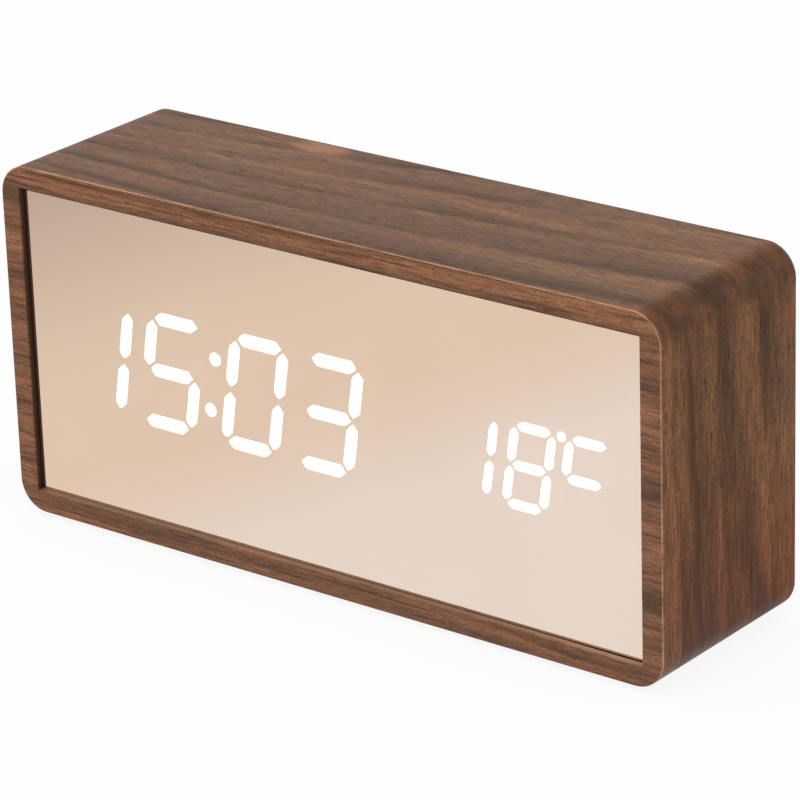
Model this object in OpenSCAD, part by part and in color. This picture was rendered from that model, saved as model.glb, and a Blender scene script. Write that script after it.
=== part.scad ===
// Box alarm clock: veneered wooden sleeve, half-mirror front, lit segment display, rear cover.
// Millimetres, +Z up, +Y to the back, origin under the middle of the case.

/* [Case] */
// Overall width of the wooden case
case_w = 150; // [134:1:190]
// Overall height of the wooden case
case_h = 70; // [63:1:100]
// Overall depth of the wooden case
case_d = 42; // [40:1:60]
// Width of the wooden frame seen from the front
wall_t = 4.3; // [3.8:0.1:5.5]
// Radius of the four outer corners
corner_r = 6; // [5:0.5:9]
// Thickness of the wood veneer
veneer_t = 0.6; // [0.4:0.1:0.9]
// Width of the step behind the front opening
front_step = 0.8; // [0.6:0.1:1.2]
// Width of the step that the rear cover seats on
rear_step = 1; // [0.8:0.1:1.4]
// Diameter of the pads under the case
pad_d = 8; // [6:0.5:11]
// Thickness of the pads under the case
pad_h = 1; // [0.8:0.1:2]

/* [Mirror panel] */
// Depth of the mirror behind the front face
panel_recess = 1.2; // [0.8:0.1:3]
// Thickness of the mirror panel
panel_t = 2; // [1.5:0.1:3]
// Gap round the edge of the mirror panel
panel_gap = 0.4; // [0.3:0.05:0.6]
// Distance of the mirror panel below the middle of the opening
panel_drop = 0.2; // [0:0.05:0.25]
// Thickness of the foam tape behind the mirror
tape_t = 0.5; // [0.4:0.1:0.8]
// Width of the foam tape
tape_w = 3; // [2:0.5:3.5]

/* [Time digits] */
// Share of the opening's width that the whole display takes
disp_fill = 0.874; // [0.8:0.002:0.88]
// Width of a time digit as a share of its height
digit_wide = 0.594; // [0.54:0.002:0.62]
// Width of a time segment as a share of the digit's height
seg_share = 0.112; // [0.1:0.002:0.14]
// Distance between neighbouring time digits as a share of their height
pitch_share = 0.738; // [0.71:0.002:0.76]
// Extra distance across the colon as a share of the digit's height
colon_share = 0.11; // [0.07:0.002:0.13]
// Half gap between neighbouring segments as a share of the digit's height
gap_share = 0.0215; // [0.013:0.0005:0.03]
// Diameter of a colon dot as a share of the digit's height
dot_share = 0.114; // [0.09:0.002:0.14]
// Height of a colon dot above or below the middle as a share of the digit's height
rise_share = 0.22; // [0.18:0.002:0.27]
// Lean of all digits in degrees
slant = 9; // [0:0.2:10]
// Distance of the digits below the middle of the case
drop = 0.8; // [0:0.1:2]
// Distance of the digits to the left of the middle
aside = 0.5; // [0:0.1:1]

/* [Temperature digits] */
// Height of a temperature digit as a share of a time digit's
small_share = 0.726; // [0.6:0.002:0.76]
// Width of a temperature digit as a share of its height
small_wide = 0.586; // [0.58:0.002:0.64]
// Distance between the two temperature digits as a share of their height
small_pitch_share = 0.734; // [0.72:0.002:0.78]
// Distance from the last temperature digit to the unit letter as a share of its height
unit_share = 0.694; // [0.69:0.002:0.73]
// Gap between the time and the temperature as a share of a time digit's height
group_share = 0.865; // [0.6:0.005:0.9]

/* [Display block] */
// Depth of the reflector block
refl_d = 7; // [5:0.5:9]
// Plastic round the outermost segments
refl_margin = 2; // [1.5:0.1:2.3]
// Depth of the milky lens in each light well
lens_t = 1.2; // [0.8:0.1:2]
// Thickness of both circuit boards
board_t = 1.6; // [1:0.2:2]

/* [Inner frame] */
// Thickness of the frame plate
frame_t = 2; // [1.6:0.1:3]
// Depth of the skirt behind the frame plate
frame_skirt = 6; // [4:0.5:9]
// Diameter of the screw posts
post_d = 6.5; // [5.6:0.1:7]
// Diameter of the cover screws
screw_d = 2.6; // [2:0.1:3]

/* [Rear cover] */
// Thickness of the rear cover
cover_t = 2; // [1.8:0.1:2.2]
// Depth of the rear cover behind the back edge of the case
cover_inset = 1; // [0.9:0.1:2]
// Gap round the rear cover and the battery door
cover_gap = 0.3; // [0.2:0.05:0.45]

/* [Battery bay] */
// Diameter of a cell
cell_d = 10.5; // [10.1:0.1:10.6]
// Length of a cell with its positive nub
cell_l = 44.5; // [43.3:0.1:45]
// Length of a contact spring under load
spring_l = 4; // [3.4:0.1:5]
// Thickness of the battery door
door_t = 1.6; // [1.4:0.1:1.7]
// Width of the ledge that the door rests on
ledge_w = 1.2; // [1:0.1:1.4]
// Width of the door latch
latch_w = 8; // [6:0.5:10]

/* [Buttons] */
// Width of a button
button_w = 9; // [7:0.5:11]
// Height of a button
button_h = 5; // [4:0.5:6]
// Share of the free row that the three buttons take
button_fill = 0.9; // [0.8:0.01:1]
// Distance that a button stands out of the cover
button_out = 0.9; // [0.5:0.1:0.9]
// Travel of a button
button_travel = 0.5; // [0.3:0.1:0.8]

/* [Hidden] */
$fn = 64;

// Levels along the depth, front to back
y_front = -case_d / 2;
y_rear = case_d / 2;
y_panel = y_front + panel_recess;
y_tape = y_panel + panel_t;
y_frame = y_tape + tape_t;
y_frame_back = y_frame + frame_t;
refl_gap = 0.3;
y_refl = y_tape + refl_gap;
y_board = y_refl + refl_d;
y_board_back = y_board + board_t;
y_cover = y_rear - cover_inset;
y_cover_in = y_cover - cover_t;

// Openings in the sleeve
z_mid = pad_h + case_h / 2;
open_w = case_w - 2 * wall_t;
open_h = case_h - 2 * wall_t;
body_w = open_w + 2 * front_step;
body_h = open_h + 2 * front_step;
body_r = max(corner_r - wall_t + front_step, 0.6);
seat_w = body_w + 2 * rear_step;
seat_h = body_h + 2 * rear_step;
seat_r = body_r + rear_step;
z_floor = z_mid - body_h / 2;

// Pads
pad_x = case_w / 2 - corner_r - 6;
pad_y = case_d / 2 - 8;

// Display layout, from the left edge of the time to the right edge of the unit letter
z_disp = z_mid - drop;
time_shares = 3 * pitch_share + colon_share + digit_wide;
temp_shares = small_share * (small_pitch_share + unit_share + small_wide);
disp_w = disp_fill * open_w;
digit_h = disp_w / (time_shares + group_share + temp_shares);
digit_w = digit_wide * digit_h;
seg_t = seg_share * digit_h;
seg_gap = gap_share * digit_h;
digit_pitch = pitch_share * digit_h;
colon_space = colon_share * digit_h;
dot_d = dot_share * digit_h;
dot_rise = rise_share * digit_h;
small_h = small_share * digit_h;
small_w = small_wide * small_h;
small_t = seg_share * small_h;
small_gap = gap_share * small_h * 1.15;
small_pitch = small_pitch_share * small_h;
unit_pitch = unit_share * small_h;
degree_d = small_t;
temp_w = temp_shares * digit_h;
time_x0 = (digit_w - disp_w) / 2 - aside;
time_x = [time_x0, time_x0 + digit_pitch, time_x0 + 2 * digit_pitch + colon_space,
  time_x0 + 3 * digit_pitch + colon_space];
colon_x = time_x0 + 1.5 * digit_pitch + colon_space / 2;
temp_x0 = disp_w / 2 - temp_w + small_w / 2 - aside;
temp_x = [temp_x0, temp_x0 + small_pitch, temp_x0 + small_pitch + unit_pitch];
degree_x = temp_x[1] + unit_pitch / 2;
degree_z = (small_h - small_t) / 2;
TIME_LIT = [[1, 2], [0, 2, 3, 5, 6], [0, 1, 2, 3, 4, 5], [0, 1, 2, 3, 6]];
TEMP_LIT = [[1, 2], [0, 1, 2, 3, 4, 5, 6], [0, 5, 6]];
ALL_SEGS = [0, 1, 2, 3, 4, 5, 6];

// Reflector, frame and display board
refl_w = disp_w + digit_h * tan(slant) + 2 * refl_margin;
refl_h = digit_h + 2 * refl_margin;
refl_fit = 0.2;
flange_w = 2;
flange_t = 1.5;
chip_t = 0.7;
frame_fit = 0.2;
frame_wall = 1.6;
post_x = body_w / 2 - 5.5;
post_z = body_h / 2 - 5.5;
boss_h = 2;
y_post = y_cover_in - boss_h;
notch_x = post_x - post_d / 2 - 0.8;
stud_d = 5;
stud_x = notch_x - 10;
stud_z = refl_h / 2 + flange_w + stud_d / 2 + 1;
board_w = refl_w;
board_h = 2 * stud_z + stud_d + 1;
chip_x = -0.06 * board_w;
driver_x = 0.14 * board_w;
chip_side = 7;
clock_side = 4;
clock_z = -0.27 * board_h;
crystal_w = 3.2;
can_d = 6.3;
can_h = 5.8;
can_x = [0.26 * board_w, 0.26 * board_w + can_d + 3.7];
can_z = -0.18 * board_h;

// Screws
small_screw_d = 2;
screw_play = 0.03;
head_depth = 1.8;
cover_screw_l = 12;

// Key board with buttons, buzzer and power socket
switch_h = 3.5;
switch_w = 6;
plunger_d = 3.4;
plunger_in = 1.5;
plunger_out = 1.5;
plunger_play = 0.08;
stem_l = 1;
cap_flange_t = 1;
cap_flange_w = 1.2;
cap_play = 0.3;
y_key = y_cover_in - switch_h - plunger_out - stem_l - cap_flange_t;
y_key_front = y_key - board_t;
key_h = 14;
buzzer_d = 12;
buzzer_h = 6;
socket_w = 8.94;
socket_h = 3.2;
y_socket = y_cover - 0.6;
key_stud_x = 3.5;
key_stud_z = 4.2;
key_play = 0.5;

// Battery bay
cell_play = 0.2;
cell_pitch = cell_d + 0.7;
plate_t = 0.4;
bay_wall = 1.8;
bay_l = cell_l + spring_l + 2 * plate_t;
bay_h = 3 * cell_pitch;
bay_z0 = z_floor + 5;
bay_z1 = bay_z0 + bay_h;
z_wall = bay_z1 + bay_wall;
y_ledge = y_cover - door_t;
y_cell = y_ledge - cell_play - cell_d / 2;
y_bay = y_cell - cell_d / 2 - cell_play;
y_tray = y_bay - 1.5;
cell_z = [bay_z1 - cell_pitch / 2, bay_z1 - 1.5 * cell_pitch, bay_z1 - 2.5 * cell_pitch];
nub_l = 1;
nub_d = 3.8;
plate_h = 9;
tail_w = 3;
tail_l = 3.5;
spring_wire = 0.6;
lead_d = 1.2;
lead_bend = 3;

// Battery door, its hooks and its latch
door_w = bay_l + 2 * ledge_w;
door_h = bay_h + 2 * ledge_w;
door_z = bay_z0 + bay_h / 2;
hinge_z = bay_z0 - ledge_w - cover_gap;
hook_w = 5;
hook_x = door_w / 2 - hook_w - 3;
hook_play = 0.25;
hook_r1 = cover_t + hook_play;
hook_r2 = hook_r1 + 1.1;
latch_play = 0.4;
leg_t = 1;
leg_z1 = z_wall + 0.4;
leg_z2 = leg_z1 + leg_t + 1.8;
y_bend = y_cover_in - 2.5;
latch_top = leg_z2 + leg_t;
latch_gap = 0.5;
catch = 0.35;
pocket_z = latch_top + 1.7;
y_pocket = y_bend - 2.7;
pocket_wall = 1.2;

// Row of buttons, buzzer and power socket above the battery bay, either side of the latch
z_key = (z_wall + z_floor + body_h) / 2;
pocket_half = latch_w / 2 + latch_play + pocket_wall;
key_x0 = post_d / 2 + 1 - post_x;
key_x1 = post_x - post_d / 2 - 15;
row_x0 = key_x0 + key_stud_x + stud_d / 2 + key_play;
row_x1 = -pocket_half - key_play;
cap_w = button_w + 2 * cap_flange_w;
button_pitch = (button_fill * (row_x1 - row_x0) - cap_w) / 2;
row_mid = (row_x0 + row_x1) / 2;
button_x = [row_mid - button_pitch, row_mid, row_mid + button_pitch];
buzzer_x = pocket_half + key_play + buzzer_d / 2;
socket_x = (buzzer_x + buzzer_d / 2 + key_x1 - key_stud_x - stud_d / 2) / 2;
therm_x = key_x1 + 7;

// Ribbon cable between the boards
ribbon_w = 10;
plug_w = ribbon_w + 2;
ribbon_x = 3.5 + plug_w / 2 - stud_x;
ribbon_t = 0.9;
plug_h = 5;
plug_t = 3;
plug_in = 2.5;
plug_z1 = z_disp + board_h / 2 - 7.5;
plug_z2 = z_key - 6.5;
ribbon_y1 = y_board_back + plug_t / 2;
ribbon_y2 = y_key_front - plug_t / 2;
ribbon_r = (ribbon_y2 - ribbon_y1) / 2;
ribbon_z = min(plug_z1, plug_z2) - 2;

WOOD = [0.36, 0.25, 0.18];
FIBRE = [0.16, 0.10, 0.07];
BLACK = [0.07, 0.07, 0.075];
GREEN = [0.05, 0.28, 0.16];
STEEL = [0.72, 0.72, 0.73];
WHITE = [0.96, 0.96, 0.94];

// 2D outline in X and Z pushed along +Y from y0
module y_push(y0, t) {
  translate([0, y0 + t, 0])
    rotate([90, 0, 0])
      linear_extrude(t)
        children();
}

// 2D outline in Y and Z pushed along +X from x0
module x_push(x0, t) {
  translate([x0, 0, 0])
    rotate([90, 0, 90])
      linear_extrude(t)
        children();
}

// Rectangle with rounded corners
module rounded(w, h, r) {
  square([w - 2 * r, h], center = true);
  square([w, h - 2 * r], center = true);
  for (sx = [-1, 1])
    for (sz = [-1, 1])
      translate([sx * (w / 2 - r), sz * (h / 2 - r)])
        circle(r);
}

// Block given by its low and high corners
module block(lo, hi) {
  translate(lo)
    cube(hi - lo);
}

// Round bar along +Y from y0
module y_rod(x, y0, z, d, l) {
  translate([x, y0 + l, z])
    rotate([90, 0, 0])
      cylinder(d = d, h = l);
}

// Cross-slotted screw, shank towards -Y and head on +Y of the seat
module screw(d, l, head_d, head_h) {
  difference() {
    union() {
      y_rod(0, -l, 0, d, l);
      y_rod(0, 0, 0, head_d, head_h);
    }
    translate([0, head_h, 0])
      cube([head_d * 0.55, head_h, 0.6], center = true);
    translate([0, head_h, 0])
      cube([0.6, head_h, head_d * 0.55], center = true);
  }
}

// Segments run a to g as 0 to 6: top, upper right, lower right, bottom, lower left, upper left, middle
function seg_flat(k) = k == 0 || k == 3 || k == 6;
function seg_mid(k, w, h, t) = seg_flat(k)
  ? [0, (k == 0 ? 1 : k == 3 ? -1 : 0) * (h - t) / 2]
  : [(k < 3 ? 1 : -1) * (w - t) / 2, (k == 1 || k == 5 ? 1 : -1) * (h - t) / 4];
function seg_len(k, w, h, t, g) = (seg_flat(k) ? w - t : (h - t) / 2) - 2 * g;
function seg_outline(l, t) = [[l / 2, 0], [(l - t) / 2, t / 2], [(t - l) / 2, t / 2],
  [-l / 2, 0], [(t - l) / 2, -t / 2], [(l - t) / 2, -t / 2]];
function lean(p) = [p[0] + p[1] * tan(slant), p[1]];
function seg_points(k, w, h, t, g) = [for (p = seg_outline(seg_len(k, w, h, t, g), t))
  lean(seg_mid(k, w, h, t) + (seg_flat(k) ? p : [-p[1], p[0]]))];
function rest(lit) = [for (k = ALL_SEGS) if (len([for (j = lit) if (j == k) j]) == 0) k];

// Time segments of digit i, pushed from y0
module time_segs(i, list, y0, t) {
  translate([time_x[i], 0, z_disp])
    for (k = list)
      y_push(y0, t)
        polygon(seg_points(k, digit_w, digit_h, seg_t, seg_gap));
}

// Temperature segments of digit i, pushed from y0
module temp_segs(i, list, y0, t) {
  translate([temp_x[i], 0, z_disp])
    for (k = list)
      y_push(y0, t)
        polygon(seg_points(k, small_w, small_h, small_t, small_gap));
}

// Colon dots, pushed from y0
module colon_dots(y0, t) {
  for (s = [-1, 1])
    y_rod(colon_x + s * dot_rise * tan(slant), y0, z_disp + s * dot_rise, dot_d, t);
}

// Degree dot, pushed from y0
module degree_dot(y0, t) {
  y_rod(degree_x + degree_z * tan(slant), y0, z_disp + degree_z, degree_d, t);
}

module case_sleeve() {
  color(FIBRE)
    translate([0, 0, z_mid])
      difference() {
        y_push(y_front + veneer_t, case_d - 2 * veneer_t)
          rounded(case_w - 2 * veneer_t, case_h - 2 * veneer_t, corner_r - veneer_t);
        y_push(y_front, case_d)
          square([open_w, open_h], center = true);
        y_push(y_frame, case_d)
          rounded(body_w, body_h, body_r);
        y_push(y_cover_in, case_d)
          rounded(seat_w, seat_h, seat_r);
      }
}

module wrap_veneer() {
  color(WOOD)
    translate([0, 0, z_mid])
      difference() {
        y_push(y_front + veneer_t, case_d - 2 * veneer_t)
          rounded(case_w, case_h, corner_r);
        y_push(y_front, case_d)
          rounded(case_w - 2 * veneer_t, case_h - 2 * veneer_t, corner_r - veneer_t);
      }
}

module front_veneer() {
  color(WOOD)
    translate([0, 0, z_mid])
      difference() {
        y_push(y_front, veneer_t)
          rounded(case_w, case_h, corner_r);
        y_push(y_front - 1, veneer_t + 2)
          square([open_w, open_h], center = true);
      }
}

module rear_veneer() {
  color(WOOD)
    translate([0, 0, z_mid])
      difference() {
        y_push(y_rear - veneer_t, veneer_t)
          rounded(case_w, case_h, corner_r);
        y_push(y_rear - veneer_t - 1, veneer_t + 2)
          rounded(seat_w, seat_h, seat_r);
      }
}

module foot_pads() {
  color(BLACK)
    for (sx = [-1, 1])
      for (sy = [-1, 1])
        translate([sx * pad_x, sy * pad_y, 0])
          cylinder(d = pad_d, h = pad_h);
}

module mirror_panel() {
  color([0.86, 0.70, 0.61])
    translate([0, 0, z_mid - panel_drop])
      y_push(y_panel, panel_t)
        square([open_w - 2 * panel_gap, open_h - 2 * panel_gap], center = true);
}

module panel_tape() {
  color(BLACK)
    translate([0, 0, z_mid])
      difference() {
        y_push(y_tape, tape_t)
          square([open_w - 2, open_h - 2], center = true);
        y_push(y_tape - 1, tape_t + 2)
          square([open_w - 2 - 2 * tape_w, open_h - 2 - 2 * tape_w], center = true);
      }
}

module inner_frame() {
  skirt_w = body_w - 2 * frame_fit;
  skirt_h = body_h - 2 * frame_fit;
  skirt_r = max(body_r - frame_fit, 0.4);
  color(BLACK)
    difference() {
      union() {
        translate([0, 0, z_mid])
          difference() {
            y_push(y_frame, frame_t + frame_skirt)
              rounded(skirt_w, skirt_h, skirt_r);
            y_push(y_frame_back, frame_skirt + 1)
              rounded(skirt_w - 2 * frame_wall, skirt_h - 2 * frame_wall, max(skirt_r - frame_wall, 0.4));
          }
        for (sx = [-1, 1])
          for (sz = [-1, 1]) {
            y_rod(sx * post_x, y_frame, z_mid + sz * post_z, post_d, y_post - y_frame);
            translate([sx * (post_x + 2.5), y_frame + (frame_t + frame_skirt) / 2, z_mid + sz * post_z])
              cube([5, frame_t + frame_skirt, 1.4], center = true);
            translate([sx * post_x, y_frame + (frame_t + frame_skirt) / 2, z_mid + sz * (post_z + 2.5)])
              cube([1.4, frame_t + frame_skirt, 5], center = true);
            y_rod(sx * stud_x, y_frame, z_disp + sz * stud_z, stud_d, y_board - y_frame);
          }
      }
      translate([0, 0, z_disp])
        y_push(y_frame - 1, frame_t + 2)
          square([refl_w + 2 * refl_fit, refl_h + 2 * refl_fit], center = true);
      for (sx = [-1, 1])
        for (sz = [-1, 1]) {
          y_rod(sx * post_x, y_post - 14, z_mid + sz * post_z, screw_d + 2 * screw_play, 15);
          y_rod(sx * stud_x, y_board - 4.2, z_disp + sz * stud_z, small_screw_d + 2 * screw_play, 5);
        }
    }
}

module led_reflector() {
  color([0.10, 0.10, 0.10])
    difference() {
      translate([0, 0, z_disp])
        union() {
          y_push(y_refl, refl_d)
            square([refl_w, refl_h], center = true);
          y_push(y_frame_back, flange_t)
            square([refl_w + 2 * flange_w, refl_h + 2 * flange_w], center = true);
        }
      for (i = [0:3])
        time_segs(i, ALL_SEGS, y_refl - 1, refl_d + 2);
      for (i = [0:2])
        temp_segs(i, ALL_SEGS, y_refl - 1, refl_d + 2);
      colon_dots(y_refl - 1, refl_d + 2);
      degree_dot(y_refl - 1, refl_d + 2);
    }
}

module time_lenses_lit() {
  color(WHITE)
    for (i = [0:3])
      time_segs(i, TIME_LIT[i], y_refl, lens_t);
}

module time_lenses_dark() {
  color([0.5, 0.5, 0.5])
    for (i = [0:3])
      time_segs(i, rest(TIME_LIT[i]), y_refl, lens_t);
}

module colon_lenses() {
  color(WHITE)
    colon_dots(y_refl, lens_t);
}

module temp_lenses_lit() {
  color(WHITE) {
    for (i = [0:2])
      temp_segs(i, TEMP_LIT[i], y_refl, lens_t);
    degree_dot(y_refl, lens_t);
  }
}

module temp_lenses_dark() {
  color([0.5, 0.5, 0.5])
    for (i = [0:2])
      temp_segs(i, rest(TEMP_LIT[i]), y_refl, lens_t);
}

// One chip on the board behind a point of the display
module led_at(x, p) {
  q = lean(p);
  translate([x + q[0], y_board - chip_t / 2, z_disp + q[1]])
    cube([1.2, chip_t, 1.2], center = true);
}

module led_chips() {
  color([0.93, 0.88, 0.62]) {
    for (i = [0:3])
      for (k = ALL_SEGS)
        led_at(time_x[i], seg_mid(k, digit_w, digit_h, seg_t));
    for (i = [0:2])
      for (k = ALL_SEGS)
        led_at(temp_x[i], seg_mid(k, small_w, small_h, small_t));
    led_at(colon_x, [0, dot_rise]);
    led_at(colon_x, [0, -dot_rise]);
    led_at(degree_x, [0, degree_z]);
  }
}

module display_board() {
  color(GREEN)
    difference() {
      translate([0, 0, z_disp])
        y_push(y_board, board_t)
          square([board_w, board_h], center = true);
      for (sx = [-1, 1])
        for (sz = [-1, 1]) {
          translate([sx * (notch_x + 10), y_board, z_disp + sz * (refl_h / 2 + flange_w + 10)])
            cube([20, 10, 20], center = true);
          y_rod(sx * stud_x, y_board - 1, z_disp + sz * stud_z, small_screw_d + 0.6, board_t + 2);
        }
    }
}

module board_screws() {
  color(STEEL)
    for (sx = [-1, 1])
      for (sz = [-1, 1])
        translate([sx * stud_x, y_board_back, z_disp + sz * stud_z])
          screw(small_screw_d, board_t + 3.4, 3.8, 1.3);
}

// Flat chip on the back of the display board, centred at x and z from its middle
module board_chip(x, z, w, h, t) {
  translate([x, y_board_back + t / 2, z_disp + z])
    cube([w, t, h], center = true);
}

module controller_chip() {
  color(BLACK)
    board_chip(chip_x, 2, chip_side, chip_side, 0.9);
}

module driver_chip() {
  color(BLACK)
    board_chip(driver_x, 2, chip_side - 1, chip_side - 1, 0.9);
}

module clock_chip() {
  color(BLACK)
    board_chip(chip_x, clock_z, clock_side, clock_side, 0.9);
}

module clock_crystal() {
  color(STEEL)
    board_chip(chip_x - clock_side - crystal_w, clock_z, crystal_w, crystal_w / 2, 0.8);
}

module capacitors() {
  color([0.62, 0.63, 0.66])
    for (x = can_x)
      union() {
        board_chip(x, can_z, can_d + 0.3, can_d + 0.3, 1);
        y_rod(x, y_board_back, z_disp + can_z, can_d, can_h);
      }
}

module ribbon_plugs() {
  color([0.88, 0.87, 0.82]) {
    difference() {
      block([ribbon_x - plug_w / 2, y_board_back, plug_z1],
        [ribbon_x + plug_w / 2, y_board_back + plug_t, plug_z1 + plug_h]);
      block([ribbon_x - ribbon_w / 2, ribbon_y1 - ribbon_t / 2, plug_z1 - 1],
        [ribbon_x + ribbon_w / 2, ribbon_y1 + ribbon_t / 2, plug_z1 + plug_in]);
    }
    difference() {
      block([ribbon_x - plug_w / 2, y_key_front - plug_t, plug_z2],
        [ribbon_x + plug_w / 2, y_key_front, plug_z2 + plug_h]);
      block([ribbon_x - ribbon_w / 2, ribbon_y2 - ribbon_t / 2, plug_z2 - 1],
        [ribbon_x + ribbon_w / 2, ribbon_y2 + ribbon_t / 2, plug_z2 + plug_in]);
    }
  }
}

module ribbon_cable() {
  x0 = ribbon_x - ribbon_w / 2;
  color([0.62, 0.62, 0.64]) {
    block([x0, ribbon_y1 - ribbon_t / 2, ribbon_z], [x0 + ribbon_w, ribbon_y1 + ribbon_t / 2, plug_z1 + plug_in]);
    block([x0, ribbon_y2 - ribbon_t / 2, ribbon_z], [x0 + ribbon_w, ribbon_y2 + ribbon_t / 2, plug_z2 + plug_in]);
    x_push(x0, ribbon_w)
      translate([(ribbon_y1 + ribbon_y2) / 2, ribbon_z])
        difference() {
          circle(ribbon_r + ribbon_t / 2);
          circle(ribbon_r - ribbon_t / 2);
          translate([-2 * ribbon_r, 0])
            square([4 * ribbon_r, 2 * ribbon_r]);
        }
  }
}

module key_board() {
  color(GREEN)
    difference() {
      block([key_x0, y_key_front, z_key - key_h / 2], [key_x1, y_key, z_key + key_h / 2]);
      for (x = [key_x0 + key_stud_x, key_x1 - key_stud_x])
        for (sz = [-1, 1])
          y_rod(x, y_key_front - 1, z_key + sz * key_stud_z, small_screw_d + 0.6, board_t + 2);
    }
}

module key_board_screws() {
  color(STEEL)
    for (x = [key_x0 + key_stud_x, key_x1 - key_stud_x])
      for (sz = [-1, 1])
        translate([x, y_key_front, z_key + sz * key_stud_z])
          mirror([0, 1, 0])
            screw(small_screw_d, board_t + 4, 3.8, 1.3);
}

module switch_bodies() {
  color(BLACK)
    for (x = button_x)
      difference() {
        block([x - switch_w / 2, y_key, z_key - switch_w / 2],
          [x + switch_w / 2, y_key + switch_h, z_key + switch_w / 2]);
        y_rod(x, y_key + switch_h - plunger_in - button_travel - 0.3, z_key, plunger_d + 2 * plunger_play, 5);
      }
}

// Moving pin of the switch at x
module plunger(x) {
  color([0.75, 0.74, 0.70])
    y_rod(x, y_key + switch_h - plunger_in, z_key, plunger_d, plunger_in + plunger_out);
}

module set_plunger() {
  plunger(button_x[0]);
}

module up_plunger() {
  plunger(button_x[1]);
}

module down_plunger() {
  plunger(button_x[2]);
}

// Button cap with its flange and stem; the child is cut into the face
module button(x) {
  color([0.11, 0.11, 0.115])
    translate([x, 0, z_key])
      difference() {
        union() {
          y_push(y_cover_in - cap_flange_t, cover_t + cap_flange_t + button_out)
            rounded(button_w, button_h, 1.5);
          y_push(y_cover_in - cap_flange_t, cap_flange_t)
            rounded(cap_w, button_h + 2 * cap_flange_w, 2);
          y_rod(0, y_cover_in - cap_flange_t - stem_l, 0, plunger_d - 0.4, stem_l + 0.5);
        }
        y_push(y_cover + button_out - 0.3, 1)
          children();
      }
}

module set_button() {
  button(button_x[0])
    circle(d = 2.2);
}

module up_button() {
  button(button_x[1])
    polygon([[-1.6, -1], [1.6, -1], [0, 1.4]]);
}

module down_button() {
  button(button_x[2])
    polygon([[-1.6, 1], [0, -1.4], [1.6, 1]]);
}

module socket_shell() {
  color(STEEL)
    translate([socket_x, 0, z_key])
      difference() {
        y_push(y_key, y_socket - y_key)
          rounded(socket_w, socket_h, 1.5);
        y_push(y_key + 0.8, y_socket - y_key)
          rounded(socket_w - 0.6, socket_h - 0.6, 1.2);
      }
}

module socket_tongue() {
  color(BLACK)
    translate([socket_x, 0, z_key])
      y_push(y_key + 0.8, y_socket - y_key - 1.5)
        square([socket_w - 2.2, 0.7], center = true);
}

module buzzer() {
  color(BLACK)
    difference() {
      y_rod(buzzer_x, y_key, z_key, buzzer_d, buzzer_h);
      y_rod(buzzer_x, y_key + buzzer_h - 1.2, z_key, 2.4, 2);
    }
}

module thermistor() {
  color([0.45, 0.30, 0.16])
    union() {
      y_rod(therm_x, y_key - 0.7, z_key, 3.6, 1.9);
      for (s = [-1, 1])
        block([key_x1 - 2, y_key, z_key + s * 1.2 - 0.25], [therm_x, y_key + 0.5, z_key + s * 1.2 + 0.25]);
    }
}

// Solid parts of the rear cover before its openings are cut
module cover_solid() {
  y_push(y_cover_in, cover_t)
    translate([0, z_mid])
      rounded(seat_w - 2 * cover_gap, seat_h - 2 * cover_gap, seat_r - cover_gap);
  translate([0, 0, z_mid])
    difference() {
      y_push(y_post, boss_h + 0.5)
        rounded(body_w - 1.2, body_h - 1.2, max(body_r - 0.6, 0.4));
      y_push(y_post - 1, boss_h + 3)
        rounded(body_w - 4, body_h - 4, max(body_r - 2, 0.4));
    }
  for (sx = [-1, 1])
    for (sz = [-1, 1])
      y_rod(sx * post_x, y_post, z_mid + sz * post_z, 8, boss_h + 0.5);
  block([-bay_l / 2 - bay_wall, y_tray, bay_z0 - bay_wall], [bay_l / 2 + bay_wall, y_cover - 0.5, z_wall]);
  block([-pocket_half, y_pocket - pocket_wall, z_wall - 0.5], [pocket_half, y_cover - 0.5, pocket_z + pocket_wall]);
  for (x = [key_x0 + key_stud_x, key_x1 - key_stud_x])
    for (sz = [-1, 1])
      y_rod(x, y_key, z_key + sz * key_stud_z, stud_d, y_cover - 0.5 - y_key);
}

// Openings of the battery bay, its door, hooks and latch
module bay_openings() {
  block([-bay_l / 2, y_bay, bay_z0], [bay_l / 2, y_rear, bay_z1]);
  translate([0, 0, door_z])
    y_push(y_ledge, 5)
      square([door_w + 2 * cover_gap, door_h + 2 * cover_gap], center = true);
  for (sx = [-1, 1]) {
    block([sx * hook_x - hook_w / 2 - 0.4, y_cover - hook_r2 - 0.5, z_floor - 1],
      [sx * hook_x + hook_w / 2 + 0.4, y_cover_in, bay_z0 + 1]);
    block([sx * hook_x - hook_w / 2 - 0.4, y_cover_in - 0.5, hinge_z],
      [sx * hook_x + hook_w / 2 + 0.4, y_cover, bay_z0 + 1]);
  }
  block([-latch_w / 2 - latch_play, y_ledge, door_z], [latch_w / 2 + latch_play, y_rear, latch_top + latch_gap]);
  block([-latch_w / 2 - latch_play, y_pocket, z_wall], [latch_w / 2 + latch_play, y_cover_in, pocket_z]);
  block([-latch_w / 2 - latch_play, y_pocket, z_wall], [latch_w / 2 + latch_play, y_rear, latch_top + latch_gap]);
  block([-latch_w / 2 - latch_play, y_cover - 1, latch_top], [latch_w / 2 + latch_play, y_rear, latch_top + 4]);
  block([-bay_l / 2, y_tray - 1, cell_z[2] - tail_w / 2 - 0.2],
    [-bay_l / 2 + plate_t + 0.2, y_bay + 1, cell_z[2] + tail_w / 2 + 0.2]);
  block([bay_l / 2 - plate_t - 0.2, y_tray - 1, cell_z[0] - tail_w / 2 - 0.2],
    [bay_l / 2, y_bay + 1, cell_z[0] + tail_w / 2 + 0.2]);
}

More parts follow.
